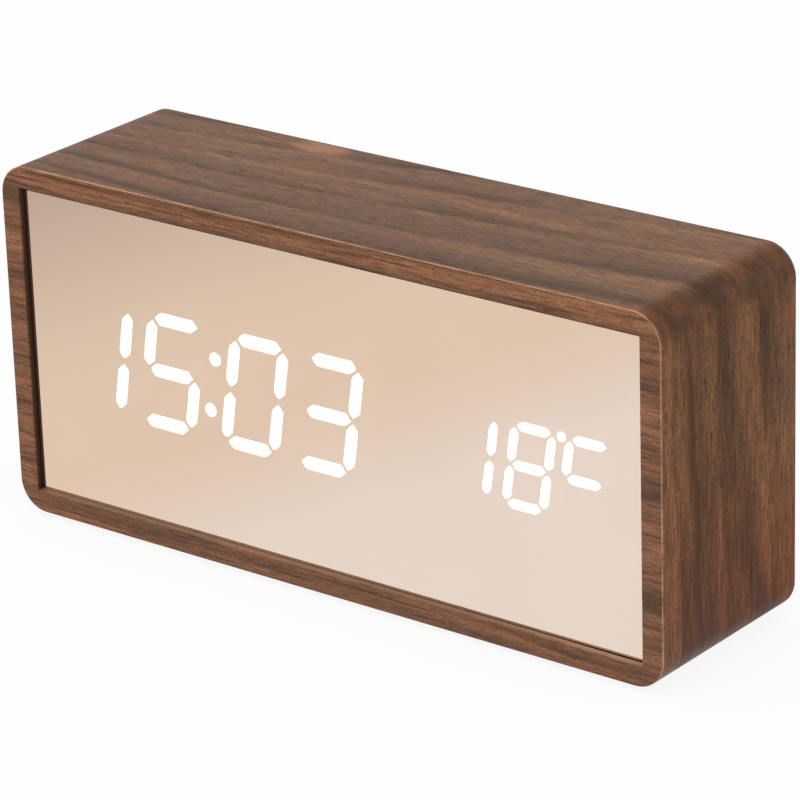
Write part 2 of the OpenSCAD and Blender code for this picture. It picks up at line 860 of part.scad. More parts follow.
module rear_cover() {
  color(BLACK) {
    difference() {
      cover_solid();
      bay_openings();
      for (sx = [-1, 1])
        for (sz = [-1, 1]) {
          y_rod(sx * post_x, y_post - 1, z_mid + sz * post_z, screw_d + 0.6, 10);
          y_rod(sx * post_x, y_cover - head_depth, z_mid + sz * post_z, 5.6, 5);
        }
      for (x = [key_x0 + key_stud_x, key_x1 - key_stud_x])
        for (sz = [-1, 1])
          y_rod(x, y_key - 1, z_key + sz * key_stud_z, small_screw_d + 2 * screw_play, 6);
      for (x = button_x)
        translate([x, 0, z_key])
          y_push(y_cover_in - 1, cover_t + 3)
            rounded(button_w + 2 * cap_play, button_h + 2 * cap_play, 1.5 + cap_play);
      translate([socket_x, 0, z_key])
        y_push(y_cover_in - 1, cover_t + 3)
          rounded(socket_w + 0.7, socket_h + 0.7, 1.85);
      for (a = [0:60:300])
        y_rod(buzzer_x + 3.6 * cos(a), y_cover_in - 1, z_key + 3.6 * sin(a), 1.6, cover_t + 3);
      y_rod(buzzer_x, y_cover_in - 1, z_key, 1.6, cover_t + 3);
      for (dx = [-2.6, 0, 2.6])
        translate([therm_x + dx, 0, z_key])
          y_push(y_cover_in - 1, cover_t + 3)
            square([1.2, 8], center = true);
    }
    for (i = [0, 1])
      block([-15, y_bay - 0.5, (cell_z[i] + cell_z[i + 1]) / 2 - 0.6],
        [15, y_bay + 2.5, (cell_z[i] + cell_z[i + 1]) / 2 + 0.6]);
  }
}

module cover_screws() {
  color(STEEL)
    for (sx = [-1, 1])
      for (sz = [-1, 1])
        translate([sx * post_x, y_cover - head_depth, z_mid + sz * post_z])
          screw(screw_d, cover_screw_l, 4.8, 1.6);
}

// Hook that swings under the cover about the door's lower edge
module door_hook(x) {
  translate([x - hook_w / 2, y_cover, hinge_z]) {
    intersection() {
      rotate([0, 90, 0])
        difference() {
          cylinder(r = hook_r2, h = hook_w);
          translate([0, 0, -1])
            cylinder(r = hook_r1, h = hook_w + 2);
        }
      block([0, -hook_r2 - 1, -1.8], [hook_w, -hook_r1 + 0.05, ledge_w]);
    }
    block([0, -hook_r2 + 0.3, cover_gap], [hook_w, -door_t + 0.3, ledge_w]);
  }
}

module battery_door() {
  color([0.085, 0.085, 0.09])
    union() {
      translate([0, 0, door_z])
        y_push(y_ledge, door_t)
          square([door_w, door_h], center = true);
      block([-latch_w / 2, y_ledge, door_z], [latch_w / 2, y_cover, leg_z1 + leg_t]);
      for (s = [-1, 1])
        door_hook(s * hook_x);
      block([-latch_w / 2, y_bend, leg_z1], [latch_w / 2, y_cover, leg_z1 + leg_t]);
      block([-latch_w / 2, y_bend, leg_z2], [latch_w / 2, y_cover, latch_top]);
      x_push(-latch_w / 2, latch_w)
        translate([y_bend, (leg_z1 + latch_top) / 2])
          difference() {
            circle((latch_top - leg_z1) / 2);
            circle((latch_top - leg_z1) / 2 - leg_t);
            translate([0, -5])
              square([10, 10]);
          }
      block([-latch_w / 2, y_cover - 1.2, leg_z2 - 1], [latch_w / 2, y_cover, latch_top]);
      block([-latch_w / 2, y_cover_in - 0.8, latch_top - 0.2],
        [latch_w / 2, y_cover_in - 0.1, latch_top + latch_gap + catch]);
    }
}

// Contact plate against one end wall, s = -1 left or 1 right, between two heights
module plate(s, z0, z1) {
  x = s * (bay_l - plate_t) / 2;
  block([x - plate_t / 2, y_bay, z0], [x + plate_t / 2, y_bay + plate_h, z1]);
}

// Solder tail through the tray floor
module tail(s, z) {
  x = s * (bay_l - plate_t) / 2;
  block([x - plate_t / 2, y_tray - tail_l, z - tail_w / 2], [x + plate_t / 2, y_bay + 0.5, z + tail_w / 2]);
}

module battery_plates() {
  half = plate_h / 2;
  color(STEEL) {
    plate(-1, cell_z[1] - half, cell_z[0] + half);
    plate(1, cell_z[2] - half, cell_z[1] + half);
    union() {
      plate(-1, cell_z[2] - half, cell_z[2] + half);
      tail(-1, cell_z[2]);
    }
    union() {
      plate(1, cell_z[0] - half, cell_z[0] + half);
      tail(1, cell_z[0]);
    }
  }
}

// Conical coil along +X: a flat first part, rising turns, a flat last part
coil_turns = 2.75;
coil_steps = 14;
coil_sides = 6;
coil_base_r = 3.9;
coil_tip_r = 1.8;
coil_n = floor(coil_turns * coil_steps);
coil_flat = spring_wire / 2 * cos(180 / coil_sides) + 0.01;
function coil_rise(u) = min(max((u - 0.22) / 0.56, 0), 1);
function coil_r(u) = coil_base_r + (coil_tip_r - coil_base_r) * u;
function coil_x(u) = coil_flat + coil_rise(u) * (spring_l - 2 * coil_flat);
function coil_mid(i) =
  let (u = i / coil_n, a = 360 * coil_turns * u)
  [coil_x(u), coil_r(u) * cos(a), coil_r(u) * sin(a)];
function coil_point(i, j) =
  let (u = i / coil_n, a = 360 * coil_turns * u, b = 360 * j / coil_sides,
    r = coil_r(u) + spring_wire / 2 * cos(b))
  [coil_x(u) + spring_wire / 2 * sin(b), r * cos(a), r * sin(a)];
coil_least_gap = min([for (i = [0:coil_n]) for (j = [i + coil_steps / 2:1:coil_n]) norm(coil_mid(i) - coil_mid(j))])
  - spring_wire;
echo(coil_least_gap = coil_least_gap);
coil_points = [for (i = [0:coil_n]) for (j = [0:coil_sides - 1]) coil_point(i, j)];
coil_skin = [for (i = [0:coil_n - 1]) for (j = [0:coil_sides - 1])
  let (k = (j + 1) % coil_sides)
  each [[i * coil_sides + j, i * coil_sides + k, (i + 1) * coil_sides + k],
    [i * coil_sides + j, (i + 1) * coil_sides + k, (i + 1) * coil_sides + j]]];
coil_ends = [[for (j = [coil_sides - 1:-1:0]) j], [for (j = [0:coil_sides - 1]) coil_n * coil_sides + j]];

module coil() {
  polyhedron(points = coil_points, faces = concat(coil_skin, coil_ends));
}

module battery_springs() {
  color(STEEL) {
    for (i = [0, 2])
      translate([-bay_l / 2 + plate_t, y_cell, cell_z[i]])
        coil();
    translate([bay_l / 2 - plate_t, y_cell, cell_z[1]])
      rotate([0, 0, 180])
        coil();
  }
}

// Cell along +X from its flat end
module cell() {
  rotate([0, 90, 0]) {
    cylinder(d = cell_d, h = cell_l - nub_l);
    cylinder(d = nub_d, h = cell_l);
  }
}

module aaa_cells() {
  color([0.20, 0.34, 0.42]) {
    for (i = [0, 2])
      translate([bay_l / 2 - plate_t - cell_l, y_cell, cell_z[i]])
        cell();
    translate([-bay_l / 2 + plate_t + cell_l, y_cell, cell_z[1]])
      rotate([0, 0, 180])
        cell();
  }
}

// Lead from a solder tail up to the front of the key board
module lead(x, z0) {
  y0 = y_tray - 2;
  z1 = z_key - key_h / 2 + 2 - lead_bend;
  translate([x, y0, z0])
    cylinder(d = lead_d, h = z1 - z0);
  translate([x, y0 + lead_bend, z1])
    rotate([90, 0, -90])
      rotate_extrude(angle = 90)
        translate([lead_bend, 0])
          circle(d = lead_d);
  y_rod(x, y0 + lead_bend, z1 + lead_bend, lead_d, y_key_front - y0 - lead_bend);
}

module positive_lead() {
  color([0.75, 0.10, 0.08])
    lead(bay_l / 2 + lead_d / 2, cell_z[0] - 1);
}

module negative_lead() {
  color(BLACK)
    lead(-bay_l / 2 - lead_d / 2, cell_z[2] - 1);
}

case_sleeve();
wrap_veneer();
front_veneer();
rear_veneer();
foot_pads();
mirror_panel();
panel_tape();
inner_frame();
led_reflector();
time_lenses_lit();
time_lenses_dark();
colon_lenses();
temp_lenses_lit();
temp_lenses_dark();
led_chips();
display_board();
board_screws();
controller_chip();
driver_chip();
clock_chip();
clock_crystal();
capacitors();
ribbon_plugs();
ribbon_cable();
key_board();
key_board_screws();
switch_bodies();
set_plunger();
up_plunger();
down_plunger();
set_button();
up_button();
down_button();
socket_shell();
socket_tongue();
buzzer();
thermistor();
rear_cover();
cover_screws();
battery_door();
battery_plates();
battery_springs();
aaa_cells();
positive_lead();
negative_lead();
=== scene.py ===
"""Looks of a box alarm clock: walnut veneer, half-mirror front, lit digits and a moulded back."""

import math

import bmesh
import bpy
import numpy as np
from bpy.props import FloatProperty, FloatVectorProperty, PointerProperty
from bpy.types import Operator, Panel, PropertyGroup
from mathutils import Matrix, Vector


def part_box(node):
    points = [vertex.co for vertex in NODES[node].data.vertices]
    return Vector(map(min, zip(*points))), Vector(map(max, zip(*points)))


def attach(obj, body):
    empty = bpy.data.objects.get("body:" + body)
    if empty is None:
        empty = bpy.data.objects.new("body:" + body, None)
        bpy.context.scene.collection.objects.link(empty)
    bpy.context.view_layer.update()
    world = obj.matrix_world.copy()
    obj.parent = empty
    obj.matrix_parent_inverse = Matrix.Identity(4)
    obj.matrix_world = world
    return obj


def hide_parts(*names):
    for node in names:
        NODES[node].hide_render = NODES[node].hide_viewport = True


bl_info = {
    "name": "Box alarm clock",
    "version": (1, 0, 0),
    "blender": (4, 5, 0),
    "location": "3D View > Sidebar > Clock",
    "description": "Veneer, mirror, display and rear finishes of a box alarm clock",
    "category": "Object",
}

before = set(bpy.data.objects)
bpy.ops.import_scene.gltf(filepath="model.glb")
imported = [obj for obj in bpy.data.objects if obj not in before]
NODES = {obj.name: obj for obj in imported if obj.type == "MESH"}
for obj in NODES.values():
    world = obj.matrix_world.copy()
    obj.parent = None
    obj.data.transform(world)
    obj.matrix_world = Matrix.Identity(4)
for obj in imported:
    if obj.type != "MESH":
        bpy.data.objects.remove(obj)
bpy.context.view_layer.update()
MM = 0.001
PER_METRE = 1000.0
CREASE = math.radians(35)  # edges of made pieces that are sharper than this stay sharp
SHARP = math.radians(30)  # edges of CAD nodes that are sharper than this are rounded
FLAT = math.radians(1)  # faces of CAD nodes that meet at less than this are one face
MERGE = 0.002 * MM  # points of CAD nodes that are nearer than this are one point
ROUND_STEPS = 6  # points on a quarter round
RELIEF = 0.04 * MM  # depth of the wood's surface

# Noise in the walnut figure: blotches per millimetre along and across the grain, shift of the seed, detail
FIGURE = {
    "waver": (0.02, 0.06, 0.0, 2.0),
    "ripple": (0.09, 0.5, 3.1, 3.0),
    "broad": (0.014, 0.16, 11.3, 3.0),
    "lines": (0.05, 1.3, 17.9, 4.0),
}
# Values of a noise from which its mark starts to show and shows in full
MARKS = {"streak": (0.36, 0.6), "broad": (0.36, 0.64), "lines": (0.48, 0.7),
         "pore": (0.57, 0.7), "speck": (0.66, 0.76)}
# One cycle from dark streak to dark streak: end of the soft side, the pale band, start of the sharp side
SOFT_SIDE, PALE_IN, PALE_OUT, SHARP_SIDE = (0.0, 0.4), (0.5, 0.8), (0.86, 0.97), (0.89, 0.995)
SIDE_START = 70.0  # millimetres along the wrap at which its right side starts
# Bands across the front veneer: height and half-width in millimetres, and strength, orange above 0, else dark
FRONT_BANDS = ((18.1, 2.6, 0.75), (-3.4, 2.2, 0.75), (-9.7, 1.2, 0.35), (-25.2, 5.0, 0.4),
               (26.7, 4.5, -0.2), (7.0, 7.0, -0.12), (-15.2, 3.0, -0.2))
# Lighter and darker bands of the wrap: lean, depth at the middle of the map, half-width, gain, and start and
# end along the wrap. Lengths are in millimetres.
WRAP_BANDS = ((0.06, -22.1, 4.2, 0.48, 72.0, 118.0), (0.06, -13.6, 3.5, -0.24, 98.0, 150.0),
              (0.21, -18.1, 3.6, -0.2, 72.0, 150.0), (0.21, -18.1, 4.2, -0.2, 112.0, 150.0),
              (0.21, -11.1, 3.8, 0.24, 72.0, 150.0), (0.21, -25.1, 3.6, 0.3, 104.0, 126.0),
              (0.21, -4.1, 4.2, -0.36, 72.0, 94.0), (0.0, 7.5, 5.5, 0.17, -75.0, 64.0),
              (0.0, 17.8, 3.6, -0.2, -28.0, 28.0), (0.0, -16.0, 3.6, -0.15, 12.0, 58.0),
              (0.0, -8.5, 3.5, 0.22, 50.0, 68.0))
BAND_FADE = 6.0  # millimetres on each side of the start and end of such a band


def tone(red, green, blue):
    """Linear colour of a screen colour given as three numbers from 0 to 255."""
    parts = np.array([red, green, blue]) / 255.0
    return tuple(np.where(parts <= 0.04045, parts / 12.92, ((parts + 0.055) / 1.055) ** 2.4))


def scaled(colour, factor):
    """Colour made darker or lighter."""
    return tuple(factor * part for part in colour)


def shade(name, colour, about):
    """Colour property with a plain description."""
    return FloatVectorProperty(
        name=name, description=about, subtype="COLOR", size=3, min=0, max=1, default=colour)


def length(name, millimetres, about):
    """Length property in metres, given in millimetres."""
    return FloatProperty(name=name, description=about, unit="LENGTH", default=millimetres * MM, precision=5)


def share(name, value, about, top=1.0):
    """Plain number property."""
    return FloatProperty(name=name, description=about, default=value, min=0, max=top)


def angle(name, degrees, about):
    """Angle property in radians, given in degrees."""
    return FloatProperty(name=name, description=about, subtype="ANGLE", default=math.radians(degrees))


class ClockCase(PropertyGroup):
    """Sizes of the veneered case that its pieces share."""

    corner: length("Corner radius", 6, "Radius of the four outer corners")
    rim: length("Front rim", 4.3, "Width of the wooden rim seen from the front")
    seat: length("Rear rim", 2.5, "Width of the wooden rim seen from the back")
    outer_round: length("Outer edge", 0.26, "Rounding of the outer front and rear edges")
    inner_round: length("Inner edge", 0.1, "Rounding of the edge round the mirror")
    panel_bevel: length("Mirror bevel", 0.04, "Bevel on the front edge of the mirror")
    panel_skew: length("Mirror skew", 0.12, "Rise of the mirror's lower edge from the middle to one end")
    panel_sag: length("Mirror sag", 0.07, "Drop of the middle of the mirror's lower edge")
    pad_round: length("Pad edge", 0.3, "Rounding of the pads under the case")


class ClockWood(PropertyGroup):
    """Colours and figure of the veneer."""

    wrap_mid: shade("Wrap", tone(105, 67, 38), "Main brown of the wrapped veneer")
    wrap_warm: shade("Wrap warm", tone(127, 86, 54), "Warmer bands of the wrapped veneer")
    wrap_dark: shade("Wrap streak", tone(72, 47, 22), "Dark streaks of the wrapped veneer")
    front_mid: shade("Front", tone(110, 76, 54), "Main brown of the front veneer")
    front_warm: shade("Front warm", tone(147, 98, 68), "Orange bands of the front veneer")
    front_dark: shade("Front streak", tone(68, 46, 29), "Dark lines of the front veneer")
    # Colour of the sanded edge, also used for the painted light on the sill under the mirror
    edge_tan: shade("Sanded edge", tone(205, 162, 124), "Pale line where the edge is sanded through")
    # The next two colours paint shade round the upper bends, as dark and orange patches
    bend: shade("Bend", tone(60, 36, 19), "Darker veneer round the upper bends")
    bend_shade_orange: shade("Bend warm", tone(128, 74, 38), "Orange patches round the upper bends")
    side_red: shade("Side red", (1.0, 0.76, 0.64), "Share of each colour kept low on the side")
    # Painted shade of the recess wall at the mirror's left
    recess_shade: shade("Recess", (0.05, 0.018, 0.006), "Shaded wall at the left of the mirror")
    knot: shade("Knot", tone(152, 102, 68), "Pale patch of a small knot")
    ring: length("Streak distance", 10.3, "Distance between dark streaks")
    fibre: length("Fibre", 0.36, "Width of a wood fibre")
    gloss: share("Roughness", 0.43, "Roughness of the oiled surface")
    shine: share("Shine", 0.22, "Strength of the surface's own reflection")


class ClockFront(PropertyGroup):
    """Mirror and display."""

    tint: shade("Mirror tint", (0.93, 0.775, 0.665), "Rose metal coat of the mirror")
    cover: share("Mirror cover", 0.86, "Share of light that the coat holds back")
    polish: share("Mirror roughness", 0.035, "Roughness of the mirror")
    glow: share("Digit glow", 6.0, "Brightness of the lit segments", 20)
    lit: shade("Lit colour", (1.0, 0.99, 0.97), "Colour of the lit segments")
    tip: length("Segment tip", 0.45, "Rounding of the lit segments")


class ClockBack(PropertyGroup):
    """Moulded parts and what is behind them."""

    plastic: shade("Moulding", tone(34, 33, 33), "Black moulded plastic")
    button: shade("Button", tone(46, 45, 45), "Button plastic")
    button_round: length("Button edge", 0.25, "Rounding of the buttons")
    sign: length("Button sign", 2.0, "Reach of the sharp sign in the middle of a button")
    paint: shade("Sign paint", tone(176, 176, 172), "Paint in the signs of the buttons")
    board: shade("Board", tone(24, 78, 48), "Circuit board lacquer")
    steel: shade("Steel", tone(198, 196, 192), "Plated steel")
    jacket: shade("Cell jacket", tone(52, 88, 104), "Jacket of the cells")


class ClockStage(PropertyGroup):
    """Camera, lamps and floor."""

    azimuth: angle("Azimuth", 38.43, "Camera to the right of straight ahead")
    elevation: angle("Elevation", 21.72, "Camera above the horizon")
    roll: angle("Roll", -1.84, "Turn of the picture")
    distance: length("Distance", 804.4, "Camera to the middle of the case")
    right: length("Aim right", 1.71, "Aim to the right of the middle")
    up: length("Aim up", -3.31, "Aim above the middle")
    lens: share("Lens", 196.78, "Focal length in millimetres", 500)
    ambient: share("Ambient", 0.72, "Even light from all round", 4)
    key: share("Key lamp", 9.0, "Power of the lamp overhead in watts", 100)
    fill: share("Fill lamp", 4.0, "Power of the lamp at the left in watts", 100)
    paper: share("Floor white", 0.9, "How far the floor is pure white to the camera")
    card: shade("Warm card", (0.93, 0.845, 0.75), "Tint that the mirror meets at the left")


class ClockSettings(PropertyGroup):
    """All settings of the clock."""

    case: PointerProperty(type=ClockCase)
    wood: PointerProperty(type=ClockWood)
    front: PointerProperty(type=ClockFront)
    back: PointerProperty(type=ClockBack)
    stage: PointerProperty(type=ClockStage)


def arithmetic(operation, swapped=False):
    """Method of Val that adds a Math node, with its own number first or, if swapped, last."""

    def method(self, *others):
        return self.finish.math(operation, *((*others, self) if swapped else (self, *others)))

    return method


class Val:
    """A number in a material. Arithmetic on it adds Math nodes."""

    def __init__(self, finish, socket):
        self.finish, self.socket = finish, socket

    __add__ = __radd__ = arithmetic("ADD")
    __sub__, __rsub__ = arithmetic("SUBTRACT"), arithmetic("SUBTRACT", True)
    __mul__ = __rmul__ = arithmetic("MULTIPLY")
    __truediv__, __pow__, __abs__ = arithmetic("DIVIDE"), arithmetic("POWER"), arithmetic("ABSOLUTE")


class Finish:
    """One material and the nodes that make it."""

    def __init__(self, name, owner=None):
        self.material = owner or bpy.data.materials.new(name)
        self.material.use_nodes = True
        self.tree = self.material.node_tree
        self.tree.nodes.clear()

    def add(self, kind, settings=None, sockets=None, out=0):
        """Adds a node: its settings first, then the values or links of its sockets. Gives one output."""
        node = self.tree.nodes.new(kind)
        for key, value in (settings or {}).items():
            setattr(node, key, value)
        for key, value in (sockets or {}).items():
            if isinstance(value, Val):
                self.tree.links.new(value.socket, node.inputs[key])
            elif hasattr(value, "__len__") and node.inputs[key].type == "RGBA":
                node.inputs[key].default_value = (*value[:3], 1.0)
            else:
                node.inputs[key].default_value = value
        return Val(self, node.outputs[out]) if node.outputs else None

    def math(self, operation, *values):
        """Number worked out from others."""
        return self.add("ShaderNodeMath", {"operation": operation}, dict(enumerate(values)))

    def noise(self, x, y, z=0.0, detail=2.0):
        """Smooth noise from 0 to 1 at a point whose unit is about one blotch."""
        point = self.add("ShaderNodeCombineXYZ", None, {0: x, 1: y, 2: z})
        return self.add("ShaderNodeTexNoise", None, {"Vector": point, "Scale": 1.0, "Detail": detail})

    def step(self, value, low, high, start=0.0, end=1.0):
        """Smooth change from start to end while value goes from low to high."""
        return self.add(
            "ShaderNodeMapRange",
            {"interpolation_type": "SMOOTHSTEP"},
            {"Value": value, "From Min": low, "From Max": high, "To Min": start, "To Max": end},
        )

    def fall(self, value, low, high, start=1.0):
        """Smooth change from start to 0 while value goes from low to high."""
        return self.step(value, low, high, start, 0.0)

    def mix(self, amount, first, second, blend="MIX"):
        """Colour between two others."""
        settings = {"data_type": "RGBA", "blend_type": blend}
        return self.add("ShaderNodeMix", settings, {0: amount, 6: first, 7: second}, 2)

    def times(self, colour, number):
        """Colour times a number."""
        grey = self.add("ShaderNodeCombineColor", None, {0: number, 1: number, 2: number})
        return self.mix(1.0, colour, grey, "MULTIPLY")

    def split(self, point):
        """The three numbers of a point."""
        node = self.add("ShaderNodeSeparateXYZ", None, {0: point}).socket.node
        return [Val(self, socket) for socket in node.outputs]

    def place(self):
        """Object coordinates in millimetres, as three numbers."""
        point = self.add("ShaderNodeTexCoord", None, None, "Object")
        return [axis * PER_METRE for axis in self.split(point)]

    def grain(self):
        """The piece's own grain map in millimetres: along the grain, then across it."""
        point = self.add("ShaderNodeUVMap", {"uv_map": "grain"})
        return [axis * PER_METRE for axis in self.split(point)[:2]]

    def rays(self):
        """Whether light goes straight to the camera, and whether it comes by a mirror or a clear piece."""
        path = self.add("ShaderNodeLightPath").socket.node.outputs
        names = ("Is Camera Ray", "Is Glossy Ray", "Is Transmission Ray")
        seen, gloss, through = (Val(self, path[name]) for name in names)
        return seen, self.math("MAXIMUM", gloss, through)

    def bump(self, height, depth):
        """Surface direction over a height from 0 to 1 that is depth metres deep."""
        return self.add("ShaderNodeBump", None, {"Height": height, "Distance": depth, "Strength": 1.0})

    def surface(self, **sockets):
        """Closes the material with a principled surface; names use _ for a space."""
        named = {key.replace("_", " "): value for key, value in sockets.items()}
        shader = self.add("ShaderNodeBsdfPrincipled", None, named)
        self.close(shader)
        return self.material

    def blend(self, amount, first, second):
        """Shader between two others."""
        return self.add("ShaderNodeMixShader", None, {0: amount, 1: first, 2: second})

    def close(self, shader, output="ShaderNodeOutputMaterial"):
        """Puts a shader on the surface."""
        self.add(output, None, {"Surface": shader})


def settings():
    """The clock's settings in the open scene."""
    return bpy.context.scene.clock


def rounded_loop(half_x, half_z, radius, arc=12, straight=24):
    """Closed loop round a rectangle with arcs at its corners, clockwise from a point near the bottom middle.
    Returns points and outward directions as (count, 2) arrays, and the length walked to each point."""
    corners = np.array([[-1, -1], [-1, 1], [1, 1], [1, -1]])
    turns = np.linspace(0, np.pi / 2, arc + 1)
    starts = np.array([1.5, 1.0, 0.5, 0.0]) * np.pi
    angles = starts[:, None] - turns[None, :]
    out = np.stack([np.cos(angles), np.sin(angles)], -1)
    centres = corners * np.array([half_x - radius, half_z - radius])
    arcs = centres[:, None, :] + radius * out
    ends = np.roll(arcs[:, 0], -1, axis=0)
    along = np.linspace(0, 1, straight + 1)[1:-1, None]
    sides = arcs[:, None, -1] * (1 - along) + ends[:, None] * along
    side_out = np.repeat(out[:, None, -1], straight - 1, axis=1)
    points = np.concatenate([arcs, sides], 1).reshape(-1, 2)
    outward = np.concatenate([out, side_out], 1).reshape(-1, 2)
    start = (straight - 1) // 2
    points, outward = np.roll(points, start, axis=0), np.roll(outward, start, axis=0)
    walked = np.concatenate([[0], np.cumsum(np.linalg.norm(np.diff(points, axis=0), axis=1))])
    return points, outward, walked


def square_corner(points, outward, half_x, half_z, radius):
    """Inner partner of each loop point on a sharp rectangle: sides go straight in, and each arc's two halves
    run along the two sides that meet in the corner."""
    sign = np.sign(points)
    lean = np.abs(outward)
    reach = np.array([half_x, half_z])
    turn = np.clip(np.arctan2(lean[:, 1], lean[:, 0]) / (np.pi / 4), 0, 2)
    grow = np.stack([np.clip(2 - turn, 0, 1), np.clip(turn, 0, 1)], -1)
    arc = (lean.min(1) > 1e-6)[:, None]
    start = reach - radius
    at_arc = start + (reach - start) * grow
    at_side = np.where(lean > 0.5, reach, np.abs(points))
    return sign * np.where(arc, at_arc, at_side)


def in_space(flat, depth, middle):
    """Points of a loop in X and Z, put at one depth in Y and at the height of the case's middle."""
    return np.stack([flat[:, 0], np.full(len(flat), depth), flat[:, 1] + middle], -1)


def quarter_round(radius):
    """Inset and depth of points on a quarter round, from the side to the face."""
    turn = np.linspace(0, np.pi / 2, ROUND_STEPS)
    return np.stack([radius * (1 - np.cos(turn)), radius * (1 - np.sin(turn))], -1)


def strips(count, around):
    """Four-sided faces that join each of count loops of points to the next."""
    i, j = (grid.ravel() for grid in np.meshgrid(np.arange(count - 1), np.arange(around), indexing="ij"))
    this, beyond = i * around, (i + 1) * around
    j2 = (j + 1) % around
    return np.stack([this + j, beyond + j, beyond + j2, this + j2], -1)


def volume(points, faces):
    """Signed volume of a closed mesh of four-sided faces."""
    a, b, c, d = (points[faces[:, k]] for k in range(4))
    return (np.einsum("ij,ij->i", a, np.cross(b, c)) + np.einsum("ij,ij->i", a, np.cross(c, d))).sum()


def put(name, data):
    """New object in the open scene."""
    made = bpy.data.objects.new(name, data)
    bpy.context.scene.collection.objects.link(made)
    return made


def piece(name, points, faces, body, replaced, materials, grain=None):
    """Makes a mesh piece from arrays and ties it to the frame."""
    mesh = bpy.data.meshes.new(name)
    mesh.from_pydata(points.tolist(), [], faces)
    if grain is not None:
        layer = mesh.uv_layers.new(name="grain")
        layer.data.foreach_set("uv", grain.astype(np.float32).ravel())
    for material in materials:
        mesh.materials.append(material)
    mesh.shade_smooth()
    mesh.set_sharp_from_angle(angle=CREASE)
    mesh.update()
    made = put(name, mesh)
    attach(made, body)
    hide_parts(*replaced)
    return made


def band(name, rows, grain, replaced, material):
    """Closed band: every row is a loop of points, each row joins the next and the last joins the first. Faces
    are turned outwards. The grain map has one column more than the rows, so it doesn't jump at the seam."""
    count, around = rows.shape[:2]
    i, j = np.meshgrid(np.arange(count), np.arange(around), indexing="ij")
    i, j = i.ravel(), j.ravel()
    i2, j2 = (i + 1) % count, j + 1
    beyond = j2 % around
    faces = np.stack([i * around + j, i * around + beyond, i2 * around + beyond, i2 * around + j], -1)
    corners = np.stack([grain[i, j], grain[i, j2], grain[i2, j2], grain[i2, j]], 1)
    points = rows.reshape(-1, 3)
    if volume(points, faces) < 0:
        faces, corners = faces[:, ::-1], corners[:, ::-1]
    return piece(name, points, faces.tolist(), "case", replaced, [material], corners)


def flat_band(name, rows, middle, replaced, material):
    """Band of a flat veneer: X runs along its grain, and height from the middle of the case across it."""
    rows = np.stack(rows)
    grain = np.concatenate([rows, rows[:, :1]], 1)[..., [0, 2]] - np.array([0, middle])
    return band(name, rows, grain, replaced, material)


def dress(names, material):
    """Gives CAD nodes a material."""
    for name in names:
        data = NODES[name].data
        data.materials.clear()
        data.materials.append(material)


def softened(name, body, width, material, depth_only=False, core=0.0):
    """Merged copy of a CAD node whose sharp edges are rounded, all or only those along the depth. Edges that
    lie nearer to the node's middle than core, in X and in Z, stay sharp. The copy stands in for the node."""
    low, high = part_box(name)
    mesh = NODES[name].data.copy()
    work = bmesh.new()
    work.from_mesh(mesh)
    bmesh.ops.remove_doubles(work, verts=work.verts, dist=MERGE)
    bmesh.ops.dissolve_limit(work, angle_limit=FLAT, verts=work.verts, edges=work.edges)
    edges = []
    for edge in work.edges:
        off = (edge.verts[0].co + edge.verts[1].co - low - high) / 2
        if edge.is_manifold and edge.calc_face_angle() > SHARP and max(abs(off.x), abs(off.z)) >= core:
            edges.append(edge)
    if depth_only:
        spans = [abs(edge.verts[0].co.y - edge.verts[1].co.y) for edge in edges]
        edges = [edge for edge, span in zip(edges, spans) if span > edge.calc_length() / 2]
    bmesh.ops.bevel(
        work, geom=edges, offset=width, segments=3, profile=0.5, affect="EDGES", clamp_overlap=True)
    work.to_mesh(mesh)
    work.free()
    mesh.materials.clear()
    mesh.materials.append(material)
    mesh.shade_smooth()
    mesh.set_sharp_from_angle(angle=SHARP)
    made = put(name + "_soft", mesh)
    made.modifiers.new("flat faces", "WEIGHTED_NORMAL").keep_sharp = True
    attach(made, body)
    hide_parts(name)
    return made


def case_loop():
    """Outer loop of the case, its half width and half height, and the height of its middle."""
    low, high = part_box("wrap_veneer")
    half = (high.x - low.x) / 2, (high.z - low.z) / 2
    return rounded_loop(*half, settings().case.corner), half, (low.z + high.z) / 2


